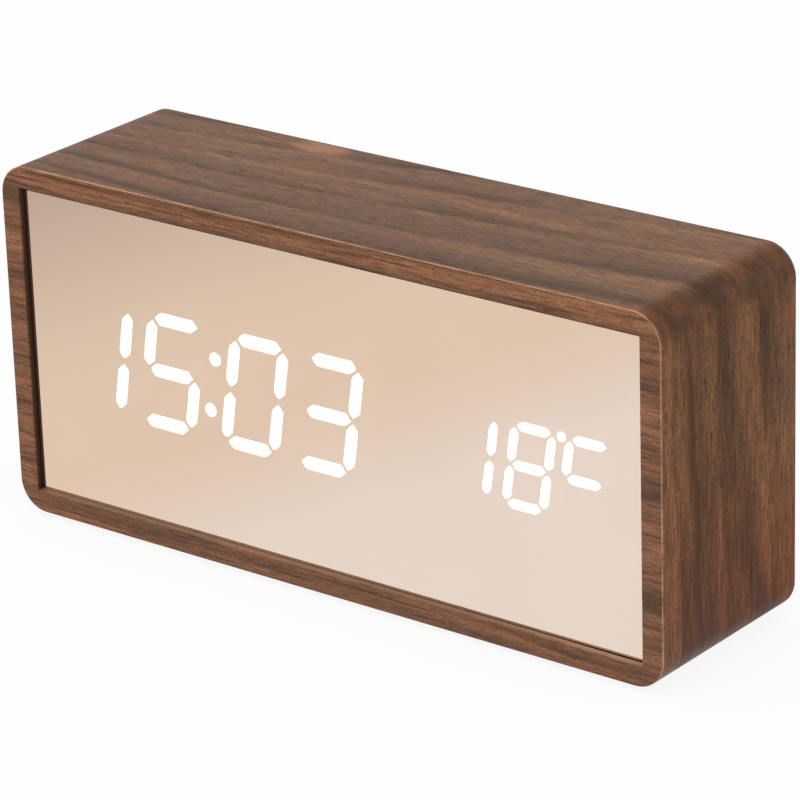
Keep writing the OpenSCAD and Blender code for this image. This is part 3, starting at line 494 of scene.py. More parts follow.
def walnut(finish, along, across, look, seed, glow=0.0):
    """Walnut figure. A slowly bending, spreading and wavering coordinate rises across the sheet, and each
    time it passes a whole number there is a dark streak with a sharp lower side, a soft upper side and a pale
    band below. Broad warm bands, fine lines, fibres stretched along the grain, dark pores and pale specks
    lie over that. Glow adds to the warm bands. Returns colour, roughness and height."""

    def figure(name):
        fast, tight, shift, detail = FIGURE[name]
        return finish.noise(along * fast, across * tight, seed + shift, detail)

    bent = along - finish.math("MAXIMUM", along - SIDE_START, 0.0) * look["ease"]
    middle = bent * look["tilt"] + bent * bent * look["bend"] + look["lift"]
    wide = bent * look["spread"] + look["ring"]
    waver, ripple = figure("waver") - 0.5, figure("ripple") - 0.5
    ring = (across - middle) / wide + waver * look["waver"] + ripple * 0.16
    above_zero = 20.0
    phase = finish.math("FRACT", ring + above_zero)
    dark = finish.fall(phase, *SOFT_SIDE) + finish.step(phase, *SHARP_SIDE)
    pale = finish.step(phase, *PALE_IN) * finish.fall(phase, *PALE_OUT)
    shown = finish.noise(along * 0.03, ring * 0.8, seed + 7.7, 2.0)
    streak = dark * finish.step(shown, *MARKS["streak"], 0.3, 1.0)
    broad, lines = (finish.step(figure(name), *MARKS[name]) for name in ("broad", "lines"))
    fibre = finish.noise(along * look["reach"], across / look["fibre"], seed + 23.0, 3.0)
    hair = finish.noise(along * 0.22, across / look["fibre"] * 1.7, seed + 29.0, 2.0)
    grit = finish.noise(along * look["grit"] * 0.6, across * look["grit"], seed + 31.0, 2.0)
    pore, speck = finish.step(hair, *MARKS["pore"]), finish.step(grit, *MARKS["speck"])
    colour = finish.mix(broad * 0.75 + pale * 0.3 + glow, look["mid"], look["warm"])
    colour = finish.mix(lines * look["lines"], colour, look["dark"])
    colour = finish.mix(streak * look["streak"], colour, look["dark"])
    light = (fibre - 0.5) * look["fleck"] + (grit - 0.5) * look["speck"] + 1.03
    colour = finish.times(colour, light)
    colour = finish.mix(pore * 0.5, colour, scaled(look["dark"], 0.5))
    colour = finish.mix(speck * 0.45, colour, look["warm"])
    rough = (fibre - 0.5) * 0.2 + pore * 0.15 + streak * 0.04 + look["gloss"]
    height = fibre * 0.7 + grit * 0.25 - pore * 0.7
    return colour, rough, height


def oiled(finish, colour, rough, height):
    """Closes the material of a veneer."""
    relief, shine = finish.bump(height, RELIEF), settings().wood.shine
    return finish.surface(Base_Color=colour, Roughness=rough, Specular_IOR_Level=shine, Normal=relief)


def wrap_look():
    """Figure of the wrapped veneer: streaks that rise towards the right and spread apart."""
    wood = settings().wood
    return {
        "mid": wood.wrap_mid, "warm": wood.wrap_warm, "dark": wood.wrap_dark, "gloss": wood.gloss,
        "tilt": 0.091, "bend": 0.00066, "lift": 0.2, "ring": wood.ring / MM, "spread": 0.045, "ease": 0.65,
        "waver": 0.26, "fibre": wood.fibre / MM * 1.7, "reach": 0.16, "grit": 1.6,
        "lines": 0.35, "streak": 0.78, "fleck": 2.1, "speck": 1.5,
    }


def front_look():
    """Figure of the flat veneers: narrow lines along X with orange bands."""
    wood = settings().wood
    return {
        "mid": wood.front_mid, "warm": wood.front_warm, "dark": wood.front_dark, "gloss": wood.gloss,
        "tilt": -0.02, "bend": 0.0001, "lift": 2.0, "ring": 6.4, "spread": 0.006, "ease": 0.0,
        "waver": 0.5, "fibre": wood.fibre / MM, "reach": 0.3, "grit": 2.6,
        "lines": 0.7, "streak": 0.45, "fleck": 1.6, "speck": 1.2,
    }


class CLOCK_OT_wrap(Operator):
    """Veneer sheet wrapped round the case, with its grain following the wrap"""

    bl_idname = "clock.wrap"
    bl_label = "Wrapped veneer"

    # Millimetres along the grain from the middle of the map, or across it from the middle of the depth
    seam = 5.75  # distance from the middle of the top to the middle of the map
    bend = 74.2  # either way from the middle of the top to the middle of an upper bend
    knot_at, knot_size = (-34.6, 18.2), (7.0, 3.6)
    redder, low_bend = (90.0, 130.0), (124.0, 136.0)  # where the side turns redder, then darker, downwards

    def execute(self, context):
        """Profile carried round the outer loop: a thin rectangle, its outer side split along the depth."""
        (points, outward, walked), _, middle = case_loop()
        low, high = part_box("wrap_veneer")
        thick = low.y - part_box("front_veneer")[0].y
        splits = 9
        depth = np.concatenate([np.linspace(low.y, high.y, splits), [high.y, low.y]])
        inset = np.concatenate([np.zeros(splits), [thick, thick]])
        rows = np.stack([in_space(points - n * outward, y, middle) for n, y in zip(inset, depth)])
        total = walked[-1] + np.linalg.norm(points[0] - points[-1])
        along = np.append(walked, total) - total / 2
        shape = len(depth), len(along)
        grain = np.stack([np.broadcast_to(along, shape), np.broadcast_to(depth[:, None], shape)], -1)
        band("wrap_veneer_sheet", rows, grain, ["wrap_veneer"], self.finish())
        return {"FINISHED"}

    def finish(self):
        """The top's left end is duller and the side's rear edge warmer. A ragged ellipse is the knot, one
        more dark line runs down the side, and lighter and darker bands lie over that. The upper bends have
        painted shade: dark and orange patches."""
        wood = settings().wood
        finish = Finish("walnut wrap")
        along, across = finish.grain()
        glow = finish.step(across, 4.0, 18.0, 0.0, 0.6) * finish.step(along, 72.0, 84.0)
        glow = glow - finish.fall(along, -72.0, -42.0, 0.4)
        colour, rough, height = walnut(finish, along, across, wrap_look(), 2.0, glow)
        ragged = finish.noise(along * 0.15, across * 0.3, 5.0, 2.0) * 0.9
        off_along, off_across = ((value - place) / size for value, place, size in zip(
            (along, across), self.knot_at, self.knot_size))
        reach = off_along ** 2 + off_across ** 2 + ragged
        knot = finish.times(wood.knot, height + 0.68)
        colour = finish.mix(finish.fall(reach, 0.6, 1.7, 0.9), colour, knot)
        wander = (finish.noise(along * 0.07, across * 0.05, 12.0, 3.0) - 0.5) * 4.0
        aside = across - along * 0.06 + 16.6 + wander
        line = finish.step(aside, -2.6, -0.2) * finish.fall(aside, 0.0, 0.9)
        line = line * finish.step(along, SIDE_START, 84.0)
        colour = finish.mix(line * 0.82, colour, wood.wrap_dark)
        gain = finish.step(along, *self.low_bend, 1.0, 0.82)
        for lean, place, wide, amount, start, end in WRAP_BANDS:
            off = abs(across - along * lean - place + wander)
            shown = finish.step(along, start - BAND_FADE, start + BAND_FADE)
            shown = shown * finish.fall(along, end - BAND_FADE, end + BAND_FADE)
            gain = gain + finish.fall(off, wide * 0.3, wide, amount) * shown
        colour = finish.times(colour, gain)
        colour = finish.mix(finish.step(along, *self.redder), colour, wood.side_red, "MULTIPLY")
        # Painted shade round the upper bends: dark and orange patches near each bend
        turn = abs(abs(along + self.seam) - self.bend)
        bend_shade_mask = finish.fall(turn, 1.2, 5.5)
        blot = finish.noise(along * 0.13, across * 0.16, 26.0, 5.0)
        colour = finish.mix(bend_shade_mask * finish.fall(blot, 0.38, 0.6, 0.5), colour, wood.bend_shade_orange)
        colour = finish.mix(bend_shade_mask * finish.step(blot, 0.38, 0.6, 0.3, 0.74), colour, wood.bend)
        return oiled(finish, colour, rough, height)


class CLOCK_OT_front(Operator):
    """Veneer sheet on the front rim, sanded round its outer edge"""

    bl_idname = "clock.front"
    bl_label = "Front veneer"

    def execute(self, context):
        """Loops from the outer edge to the mirror opening: a quarter round, the flat rim, a quarter round."""
        case = settings().case
        (points, outward, _), (half_x, half_z), middle = case_loop()
        low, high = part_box("front_veneer")
        inner = square_corner(points, outward, half_x - case.rim, half_z - case.rim, case.corner - case.rim)
        rows = [in_space(points, high.y, middle)]
        for inset, depth in quarter_round(case.outer_round):
            rows.append(in_space(points - inset * outward, low.y + depth, middle))
        for inset, depth in quarter_round(case.inner_round)[::-1]:
            rows.append(in_space(inner + inset * np.sign(inner), low.y + depth, middle))
        rows.append(in_space(inner, high.y, middle))
        flat_band("front_veneer_sheet", rows, middle, ["front_veneer"], self.finish())
        return {"FINISHED"}

    def finish(self):
        """Orange and dark bands lie at a few heights, the upper bar turns from dark to orange, and a dark
        streak rises along the lower bar. A pale line follows the outline and the depth of the sanded edge.
        The edge under the mirror has painted light, pale as if lit from above, and the wall at its left
        painted shade."""
        wood, case = settings().wood, settings().case
        finish = Finish("walnut front")
        along, across = finish.grain()
        level = across + along * 0.027 + (finish.noise(along * 0.04, across * 0.2, 3.0, 2.0) - 0.5) * 5.0
        warm = finish.step(across, 30.8, 33.6, 0.0, 0.8)
        shadow = finish.step(across, 30.0, 30.3) * finish.fall(across, 30.4, 32.6, 0.09)
        for place, wide, strength in FRONT_BANDS:
            lift = finish.fall(abs(level - place), wide * 0.3, wide, abs(strength))
            warm, shadow = (warm + lift, shadow) if strength > 0 else (warm, shadow + lift)
        waver = (finish.noise(along * 0.06, across * 0.3, 14.0, 2.0) - 0.5) * 1.2
        foot = abs(across - along * 0.0205 + 31.57 + waver)
        shadow = shadow + finish.fall(foot, 0.3, 1.3, 0.28) * finish.fall(along, 5.0, 35.0)
        shadow = shadow + finish.fall(across, -34.2, -33.0, 0.16) * finish.step(along, 30.0, 45.0)
        colour, rough, height = walnut(finish, along, across, front_look(), 41.0, warm)
        colour = finish.times(colour, 1.0 - shadow)
        low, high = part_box("front_veneer")
        depth = (finish.place()[1] - low.y / MM) / (case.outer_round / MM)
        x, z = abs(along), abs(across)
        corner = case.corner / MM
        half_x, half_z = (high.x - low.x) / 2 / MM, (high.z - low.z) / 2 / MM
        over_x, over_z = (
            finish.math("MAXIMUM", value - (half - corner), 0.0)
            for value, half in ((x, half_x), (z, half_z)))
        gap = corner - finish.math("SQRT", over_x * over_x + over_z * over_z)
        near = finish.fall(gap, 0.02, 0.17) * finish.step(depth, 0.5, 1.2, 1.0, 0.1)
        # Patchy wear of the sanded edge, also used for the painted light on the sill
        wear_and_sill_light = finish.step(finish.noise(along * 0.16, across * 0.16, 9.0, 4.0), 0.3, 0.62, 0.25, 1.0)
        colour = finish.mix(near * wear_and_sill_light, colour, wood.edge_tan)
        wall_x, wall_z = half_x - case.rim / MM, half_z - case.rim / MM
        inside = finish.fall(x, wall_x - 0.3, wall_x + 0.1)
        # Painted light: the upward-facing edge under the mirror is made pale, as if lit from above
        sill = finish.step(across, -wall_z - 0.22, -wall_z - 0.02)
        sill = sill * finish.fall(across, -20.0, -10.0)
        strength = finish.step(along, -60.0, 10.0, 0.2, 0.3) + finish.step(along, 30.0, 66.0, 0.0, 0.4)
        colour = finish.mix(sill * inside * strength * wear_and_sill_light * 0.7, colour, wood.edge_tan)
        # Painted shade on the wall at the mirror's left
        left = finish.step(along, -wall_x - 0.1, -wall_x - 0.02)
        left = left * finish.fall(along, -wall_x + 0.05, -wall_x + 0.2)
        left = left * finish.fall(z, wall_z - 0.1, wall_z + 0.1)
        left = left * finish.step(depth, 0.0, 2.3, 0.3, 0.92)
        colour = finish.mix(left, colour, wood.recess_shade)
        return oiled(finish, colour, rough, height)


class CLOCK_OT_rear(Operator):
    """Veneer on the rear rim"""

    bl_idname = "clock.rear"
    bl_label = "Rear veneer"

    def execute(self, context):
        """Loops from the outer edge to the seat of the rear cover: a quarter round, then the flat rim."""
        case = settings().case
        (points, outward, _), _, middle = case_loop()
        low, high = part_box("rear_veneer")
        rows = [in_space(points, low.y, middle)]
        for inset, depth in quarter_round(case.outer_round):
            rows.append(in_space(points - inset * outward, high.y - depth, middle))
        rows.append(in_space(points - case.seat * outward, high.y, middle))
        rows.append(in_space(points - case.seat * outward, low.y, middle))
        finish = Finish("walnut rear")
        material = oiled(finish, *walnut(finish, *finish.grain(), front_look(), 67.0))
        flat_band("rear_veneer_sheet", rows, middle, ["rear_veneer"], material)
        return {"FINISHED"}


class CLOCK_OT_sleeve(Operator):
    """Fibreboard of the case, blackened, with painted shade and light where it shows round the mirror"""

    bl_idname = "clock.sleeve"
    bl_label = "Case board"

    def execute(self, context):
        """The rim round the mirror is brown at the front, with painted shade at its left and painted light
        under the mirror, pale as if lit from above, more so at the right, where the brown also ends sooner."""
        wood = settings().wood
        finish = Finish("blackened fibreboard")
        x, y, z = finish.place()
        fuzz = finish.noise(x * 3.0, y * 3.0, z * 3.0, 4.0)
        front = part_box("case_sleeve")[0].y / MM
        # Grows to the right: the brown ends sooner there and the painted light on the sill is stronger
        wear_and_sill_light = finish.step(x, 30.0, 66.0, 0.0, 0.65)
        brown = finish.fall(y + fuzz * 0.4 + wear_and_sill_light, front + 1.1, front + 1.5, 0.95)
        colour = finish.mix(fuzz, tone(26, 20, 17), tone(40, 31, 25))
        # Painted light: the board's sill under the mirror is made pale, as if lit from above
        sill = finish.fall(z, 10.0, 20.0) * (finish.step(x, -70.0, -20.0, 0.3, 0.4) + wear_and_sill_light * 0.6)
        shown = finish.step(x, -70.6, -70.4)
        colour = finish.mix(brown * shown, colour, wood.front_mid)
        # Painted shade where the board's wall shows at the mirror's left
        colour = finish.mix(brown * (1.0 - shown), colour, wood.recess_shade)
        colour = finish.mix(brown * shown * sill, colour, wood.edge_tan)
        dress(["case_sleeve"], finish.surface(
            Base_Color=colour, Roughness=fuzz * 0.2 + 0.62, Normal=finish.bump(fuzz, RELIEF)))
        return {"FINISHED"}


class CLOCK_OT_mirror(Operator):
    """Rose half-mirror: a coated front that shows the lit digits behind it"""

    bl_idname = "clock.mirror"
    bl_label = "Mirror panel"

    def execute(self, context):
        """Rectangle loops: the bevelled front, the edge and the back, closed by two flat faces. The lower
        edge isn't quite level, so the gap under it widens to the right."""
        case = settings().case
        low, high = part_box("mirror_panel")
        middle = np.array([(low.x + high.x) / 2, 0, (low.z + high.z) / 2])
        half = np.array([(high.x - low.x) / 2, 0, (high.z - low.z) / 2])
        corners = np.array([[-1, 0, -1], [1, 0, -1], [1, 0, 1], [-1, 0, 1]])
        bevel = case.panel_bevel
        levels = [(bevel, low.y), (0.0, low.y + bevel), (0.0, high.y)]
        plane, depth, upright = np.array([1, 0, 1]), np.array([0, 1, 0]), np.array([0, 0, 1])
        rise = (corners[:, 2:] < 0) * (corners[:, :1] * case.panel_skew - case.panel_sag) * upright
        rows = [middle + corners * (half - inset * plane) + y * depth + rise for inset, y in levels]
        faces = np.concatenate([[[0, 1, 2, 3]], [[11, 10, 9, 8]], strips(len(rows), len(corners))])
        points, skins = np.concatenate(rows), [self.coat(), self.clear()]
        made = piece("mirror_sheet", points, faces.tolist(), "case", ["mirror_panel"], skins)
        back_face = 1
        made.data.polygons[back_face].material_index = 1
        return {"FINISHED"}

    def coat(self):
        """Rose metal that lets some light through."""
        front = settings().front
        coat = Finish("rose mirror coat")
        x, _, z = coat.place()
        cloud = coat.noise(x * 0.03, z * 0.03, 3.0, 3.0)
        colour = coat.mix(coat.step(cloud, 0.3, 0.7), front.tint, scaled(front.tint, 0.985))
        rough = coat.noise(x * 0.4, z * 0.4, 8.0, 3.0) * 0.012 + front.polish
        return coat.surface(Base_Color=colour, Metallic=1.0, Roughness=rough, Alpha=front.cover)

    def clear(self):
        """Clear back of the panel."""
        clear = Finish("clear acrylic back")
        x, _, z = clear.place()
        haze = clear.noise(x * 0.2, z * 0.2, 1.0, 3.0)
        colour = clear.mix(haze, (0.03, 0.025, 0.022), (0.05, 0.04, 0.035))
        return clear.surface(Base_Color=colour, Roughness=haze * 0.1 + 0.2, Alpha=0.04)


class CLOCK_OT_display(Operator):
    """Lit and dark segments, the block that holds them, its frame and tape"""

    bl_idname = "clock.display"
    bl_label = "Display"

    def execute(self, context):
        front = settings().front
        lit = Finish("lit lens")
        x, _, z = lit.place()
        milk = lit.noise(x * 0.6, z * 0.6, 2.0, 2.0)
        lit_colour = lit.mix(lit.step(milk, 0.3, 0.7), front.lit, scaled(front.lit, 0.94))
        glow = lit.surface(
            Base_Color=(0.85, 0.85, 0.83), Roughness=milk * 0.1 + 0.3,
            Emission_Color=lit_colour, Emission_Strength=front.glow)
        softened("time_lenses_lit", "case", front.tip, glow, True)
        softened("temp_lenses_lit", "case", front.tip * 0.7, glow, True)
        dress(["colon_lenses"], glow)
        dark = Finish("dark lens")
        x, _, z = dark.place()
        milk = dark.noise(x * 0.8, z * 0.8, 2.0, 2.0)
        dress(["time_lenses_dark", "temp_lenses_dark"], dark.surface(
            Base_Color=dark.mix(milk, (0.02, 0.02, 0.021), (0.03, 0.03, 0.03)), Roughness=milk * 0.1 + 0.35))
        dress(["led_reflector"], moulding("reflector block", (0.012, 0.012, 0.012), 0.5, 0.02))
        dress(["inner_frame"], moulding("inner frame", settings().back.plastic, 0.52, 0.03))
        dress(["panel_tape"], moulding("foam tape", (0.014, 0.014, 0.015), 0.85, 0.05))
        return {"FINISHED"}


def moulding(name, colour, rough, depth, grain=0.55, paint=None):
    """Moulded plastic: fine spark-eroded grain, its depth and size in millimetres, with a faint cloudy
    change of gloss. Paint is a function of the finish and the place that gives its amount and colour."""
    finish = Finish(name)
    x, y, z = finish.place()
    fine = finish.noise(x / grain, y / grain, z / grain, 3.0)
    cloud = finish.noise(x * 0.06, y * 0.06, z * 0.06, 2.0)
    mottle = finish.step(cloud * 0.6 + fine * 0.4, 0.3, 0.7)
    tint = finish.mix(mottle, scaled(colour, 0.86), scaled(colour, 1.1))
    if paint:
        amount, over = paint(finish, x, y, z)
        tint = finish.mix(amount, tint, over)
    gloss = (cloud - 0.5) * 0.1 + (fine - 0.5) * 0.12 + rough
    return finish.surface(Base_Color=tint, Roughness=gloss, Normal=finish.bump(fine, depth * MM))


def metal(name, colour, rough, streak):
    """Plated metal with drawn streaks; the streak numbers are blotches per millimetre along each axis."""
    finish = Finish(name)
    x, y, z = finish.place()
    drawn = finish.noise(x * streak[0], y * streak[1], z * streak[2], 3.0)
    tint = finish.mix(drawn, scaled(colour, 0.82), colour)
    return finish.surface(Base_Color=tint, Metallic=1.0, Roughness=(drawn - 0.5) * 0.16 + rough,
                          Normal=finish.bump(drawn, 0.006 * MM))


class CLOCK_OT_electronics(Operator):
    """Circuit boards and what is soldered or plugged to them"""

    bl_idname = "clock.electronics"
    bl_label = "Boards and components"

    # Nodes, material, colour, roughness, depth of the grain and, where it differs, its size
    moulded = (
        (("controller_chip", "driver_chip", "clock_chip"), "chip resin",
         (0.011, 0.011, 0.012), 0.55, 0.012, 0.25),
        (("ribbon_plugs",), "plug housing", tone(224, 220, 206), 0.42, 0.01),
        (("buzzer", "switch_bodies", "socket_tongue"), "dark moulding",
         (0.013, 0.013, 0.014), 0.45, 0.01),
        (("set_plunger", "up_plunger", "down_plunger"), "switch pin", tone(196, 190, 178), 0.4, 0.006),
        (("thermistor",), "thermistor resin", tone(118, 66, 34), 0.35, 0.01),
        (("led_chips",), "light chip resin", tone(236, 222, 150), 0.3, 0.004),
        (("positive_lead",), "red lead", tone(168, 28, 22), 0.42, 0.006),
        (("negative_lead",), "black lead", (0.012, 0.012, 0.012), 0.42, 0.006),
    )

    def execute(self, context):
        """Tracks on the boards run along X or Z, by turns, in bent lanes. The ribbon has round wires."""
        back = settings().back
        for names, *look in self.moulded:
            dress(names, moulding(*look))
        board = Finish("circuit board")
        x, _, z = board.place()
        run = board.math("FRACT", x * 0.42 + board.noise(x * 0.05, z * 0.05, 4.0, 0.0) * 1.6)
        rise = board.math("FRACT", z * 0.42 + board.noise(x * 0.06, z * 0.06, 9.0, 0.0) * 1.6)
        choose = board.step(board.noise(x * 0.09, z * 0.09, 14.0, 1.0), 0.48, 0.52)
        lane = run * choose + rise * (1.0 - choose)
        track = board.fall(abs(lane - 0.5), 0.12, 0.17)
        mask = board.mix(track * 0.6, scaled(back.board, 0.7), scaled(back.board, 1.25))
        dress(["display_board", "key_board"], board.surface(
            Base_Color=mask, Roughness=track * 0.06 + 0.34, Normal=board.bump(track, 0.03 * MM)))
        dress(["clock_crystal", "socket_shell"], metal("plated shell", back.steel, 0.3, (0.5, 4.0, 0.5)))
        dress(["capacitors"], metal("capacitor can", tone(176, 178, 184), 0.34, (0.4, 3.0, 0.4)))
        ribbon = Finish("ribbon cable")
        wires_per_mm = 0.787
        wire = abs(ribbon.math("FRACT", ribbon.place()[0] * wires_per_mm) - 0.5)
        tint = ribbon.mix(ribbon.step(wire, 0.3, 0.48), tone(164, 164, 168), tone(120, 120, 126))
        dress(["ribbon_cable"], ribbon.surface(
            Base_Color=tint, Roughness=wire * 0.2 + 0.4, Normal=ribbon.bump(wire, 0.15 * MM)))
        return {"FINISHED"}


class CLOCK_OT_back(Operator):
    """Moulded rear cover and battery door"""

    bl_idname = "clock.back"
    bl_label = "Rear cover and door"

    def execute(self, context):
        plastic = settings().back.plastic
        dress(["rear_cover"], moulding("rear moulding", plastic, 0.5, 0.035, 0.3))
        dress(["battery_door"], moulding("door moulding", scaled(plastic, 1.1), 0.48, 0.035, 0.3))
        return {"FINISHED"}


class CLOCK_OT_buttons(Operator):
    """Three buttons with signs cut into their faces"""

    bl_idname = "clock.buttons"
    bl_label = "Buttons"

    def execute(self, context):
        back = settings().back
        for name in ("set_button", "up_button", "down_button"):
            material = moulding(name.replace("_", " "), back.button, 0.38, 0.008, 0.2, self.sign_paint(name))
            softened(name, name, back.button_round, material, core=back.sign)
        return {"FINISHED"}

    def sign_paint(self, name):
        """Paint on the floor of the sign, which lies below the button's face and near its middle."""
        low, high = ([axis / MM for axis in corner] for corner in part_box(name))
        back = settings().back
        reach, face = back.sign / MM, high[1]

        def paint(finish, x, y, z):
            near = finish.fall(y, face - 0.25, face - 0.15)
            for value, start, end in ((x, low[0], high[0]), (z, low[2], high[2])):
                off = abs(value - (start + end) / 2)
                near = near * finish.fall(off, reach - 0.1, reach)
            return near * 0.85, back.paint

        return paint


class CLOCK_OT_battery(Operator):
    """Cells, contact plates and springs"""

    bl_idname = "clock.battery"
    bl_label = "Battery"

    def execute(self, context):
        back = settings().back
        steel = metal("contact steel", back.steel, 0.28, (2.0, 0.4, 2.0))
        dress(["battery_plates", "battery_springs"], steel)
        cell = Finish("cell jacket")
        x, y, z = cell.place()
        scuff = cell.noise(x * 0.2, y * 1.5, z * 1.5, 3.0)
        jacket_end = 19.2
        end = cell.step(abs(x), jacket_end, jacket_end + 0.2)
        tint = cell.mix(scuff, scaled(back.jacket, 0.8), back.jacket)
        tint = cell.mix(end, tint, back.steel)
        dress(["aaa_cells"], cell.surface(
            Base_Color=tint, Metallic=end * 0.9 + 0.05, Roughness=scuff * 0.14 + 0.26))
        return {"FINISHED"}


class CLOCK_OT_screws(Operator):
    """Cross-slotted screws"""

    bl_idname = "clock.screws"
    bl_label = "Screws"

    def execute(self, context):
        even = (2.5, 2.5, 2.5)
        dress(["cover_screws"], metal("blackened screw", tone(92, 92, 94), 0.36, even))
        dress(["board_screws", "key_board_screws"], metal("plated screw", settings().back.steel, 0.32, even))
        return {"FINISHED"}


class CLOCK_OT_pads(Operator):
    """Rubber pads under the case"""

    bl_idname = "clock.pads"
    bl_label = "Pads"

    def execute(self, context):
        """Each pad is a profile turned about its axis: flat top, straight side, rounded edge, flat foot."""
        low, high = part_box("foot_pads")
        places = np.array([vertex.co for vertex in NODES["foot_pads"].data.vertices])
        first = places[(places[:, 0] < 0) & (places[:, 1] < 0)]
        centre = (first.min(0) + first.max(0)) / 2
        radius = (first[:, 0].max() - first[:, 0].min()) / 2
        inset, rise = quarter_round(settings().case.pad_round).T
        across = np.concatenate([[radius * 0.5, radius], radius - inset, [radius * 0.5]])
        height = np.concatenate([[high.z] * 2, low.z + rise, [low.z]])
        count, around = len(across), 48
        turn = np.linspace(0, 2 * np.pi, around + 1)[:-1]
        plan = across[:, None, None] * np.stack([np.cos(turn), np.sin(turn)], -1)
        tall = np.broadcast_to(height[:, None, None], (count, around, 1))
        pad = np.concatenate([plan, tall], -1).reshape(-1, 3)
        top, foot = np.arange(around), np.arange(len(pad) - around, len(pad))[::-1]
        pads, faces = [], []
        for signs in ((1, 1, 0), (1, -1, 0), (-1, 1, 0), (-1, -1, 0)):
            used = len(pads) * len(pad)
            pads.append(pad + centre * signs)
            faces += [(face + used).tolist() for face in (*strips(count, around), top, foot)]
        rubber = moulding("pad rubber", (0.02, 0.02, 0.02), 0.7, 0.02, 0.25)
        piece("pad_discs", np.concatenate(pads), faces, "case", ["foot_pads"], [rubber])
        return {"FINISHED"}


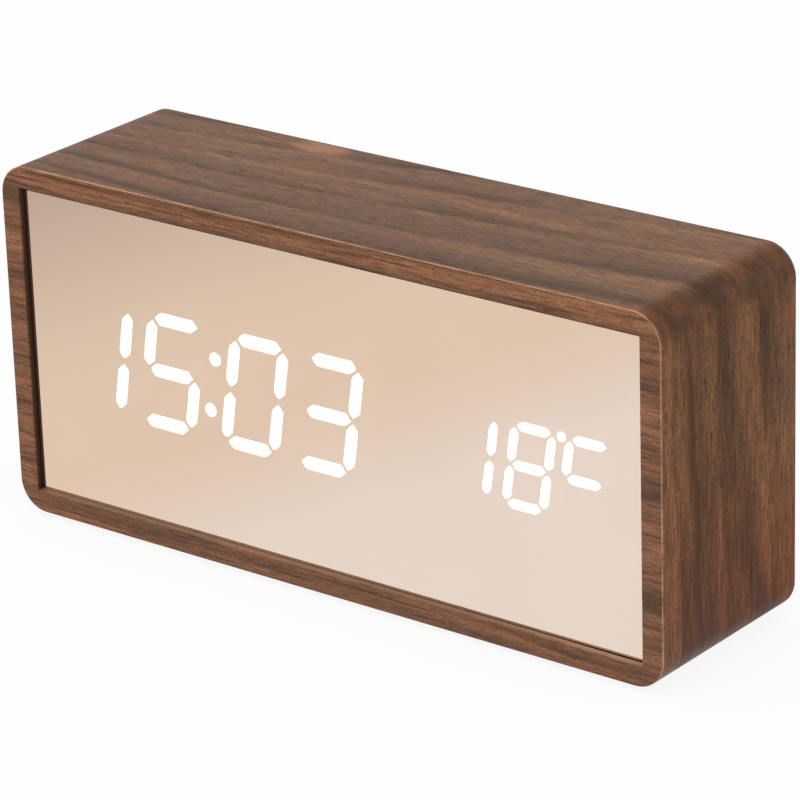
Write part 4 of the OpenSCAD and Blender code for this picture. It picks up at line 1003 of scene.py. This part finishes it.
class CLOCK_OT_stage(Operator):
    """Floor, lamps, surroundings and camera"""

    bl_idname = "clock.stage"
    bl_label = "Stage"

    # Metres: half the floor's side, the floor's depth under the clock, and place and size of the lamps
    floor_reach, floor_depth = 4.0, 0.05 * MM
    key_place, key_size = (0.0, -0.25, 1.5), 1.3
    fill_place, fill_size = (-1.3, -1.1, 0.75), 1.0

    def execute(self, context):
        scene, stage = context.scene, settings().stage
        scene.view_settings.view_transform = "Standard"
        self.floor()
        self.world(scene)
        self.lamp("key lamp", self.key_place, self.key_size, stage.key)
        self.lamp("fill lamp", self.fill_place, self.fill_size, stage.fill)
        self.camera(scene)
        return {"FINISHED"}

    def floor(self):
        """Flat square under the clock. The camera sees it almost white with the clock's shadow. Mirrors see
        painted shade: white that turns to a warm, darker tint at the front left and dims far left and behind."""
        stage = settings().stage
        corners = np.array([[-1, -1, 0], [1, -1, 0], [1, 1, 0], [-1, 1, 0]]) * self.floor_reach
        corners = corners - np.array([0, 0, self.floor_depth])
        mesh = bpy.data.meshes.new("floor")
        mesh.from_pydata(corners.tolist(), [], [[0, 1, 2, 3]])
        floor = put("floor", mesh)
        finish = Finish("floor paper")
        x, y, _ = finish.place()
        seen, mirrored = finish.rays()
        paper = finish.add("ShaderNodeBsdfDiffuse", None, {"Color": (0.86, 0.86, 0.86)})
        white = finish.add("ShaderNodeEmission", None, {"Color": (1, 1, 1), "Strength": 1.0})
        side = x * 0.966 + y * 0.259
        # Painted shade that mirrors and glossy surfaces see: warmer and darker to the left, dimmer far left
        # and behind the clock's front, standing in for the floor's falloff and the clock's shadow
        tint = finish.mix(finish.step(side, -88.0, -22.0), stage.card, (1, 1, 1))
        level = finish.step(side, -270.0, -110.0, 0.65, 1.0) * finish.step(y, -20.0, 40.0, 1.0, 0.45)
        tint = finish.times(tint, level)
        card = finish.add("ShaderNodeEmission", None, {"Color": tint, "Strength": 1.0})
        plain = finish.blend(seen * stage.paper, paper, white)
        finish.close(finish.blend(mirrored, plain, card))
        mesh.materials.append(finish.material)

    def world(self, scene):
        """Even light. The camera and mirrors meet white that is dimmer high up."""
        world = bpy.data.worlds.new("studio")
        scene.world = world
        finish = Finish("studio", world)
        seen, mirrored = finish.rays()
        height = finish.split(finish.add("ShaderNodeTexCoord", None, None, "Generated"))[2]
        fade = mirrored * finish.step(height, 0.36, 0.66, 1.0, 0.2)
        even, white, dim = (
            finish.add("ShaderNodeBackground", None, {"Color": (1, 1, 1), "Strength": strength})
            for strength in (settings().stage.ambient, 1.0, 0.0))
        lit = finish.blend(mirrored, even, finish.blend(fade, dim, white))
        finish.close(finish.blend(seen, lit, white), "ShaderNodeOutputWorld")

    def lamp(self, name, place, size, power):
        """Square lamp that faces the clock."""
        data = bpy.data.lights.new(name, "AREA")
        data.size, data.energy = size, power
        made = put(name, data)
        made.location = place
        made.rotation_mode = "QUATERNION"
        made.rotation_quaternion = made.location.to_track_quat("Z", "Y")

    def camera(self, scene):
        """Camera on a line from the middle of the case, turned about that line and moved a bit sideways."""
        stage = settings().stage
        low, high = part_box("wrap_veneer")
        data = bpy.data.cameras.new("camera")
        data.lens, data.sensor_width = stage.lens, 36
        data.clip_start, data.clip_end = 0.01, 50
        made = put("camera", data)
        made.matrix_world = (
            Matrix.Translation((low + high) / 2)
            @ Matrix.Rotation(stage.azimuth, 4, "Z")
            @ Matrix.Rotation(math.pi / 2 - stage.elevation, 4, "X")
            @ Matrix.Translation((stage.right, stage.up, stage.distance))
            @ Matrix.Rotation(stage.roll, 4, "Z")
        )
        scene.camera = made


PIECES = (
    CLOCK_OT_wrap, CLOCK_OT_front, CLOCK_OT_rear, CLOCK_OT_sleeve, CLOCK_OT_mirror, CLOCK_OT_display,
    CLOCK_OT_electronics, CLOCK_OT_back, CLOCK_OT_buttons, CLOCK_OT_battery, CLOCK_OT_screws,
    CLOCK_OT_pads, CLOCK_OT_stage,
)


class CLOCK_PT_panel(Panel):
    """Clock panel in the 3D view's sidebar"""

    bl_idname = "CLOCK_PT_panel"
    bl_label = "Clock"
    bl_space_type = "VIEW_3D"
    bl_region_type = "UI"
    bl_category = "Clock"

    def draw(self, context):
        for operator in PIECES:
            self.layout.operator(operator.bl_idname)
        for group in ("case", "wood", "front", "back", "stage"):
            box = self.layout.box()
            values = getattr(context.scene.clock, group)
            for name in values.__annotations__:
                box.prop(values, name)


GROUPS = (ClockCase, ClockWood, ClockFront, ClockBack, ClockStage, ClockSettings)
CLASSES = (*GROUPS, *PIECES, CLOCK_PT_panel)


def register():
    """Makes the clock's classes and settings known."""
    for item in CLASSES:
        bpy.utils.register_class(item)
    bpy.types.Scene.clock = PointerProperty(type=ClockSettings)


def unregister():
    """Takes them away again."""
    del bpy.types.Scene.clock
    for item in reversed(CLASSES):
        bpy.utils.unregister_class(item)


def main():
    """Runs every operator in order."""
    register()
    for operator in PIECES:
        group, name = operator.bl_idname.split(".")
        getattr(getattr(bpy.ops, group), name)()


if __name__ == "__main__":
    main()
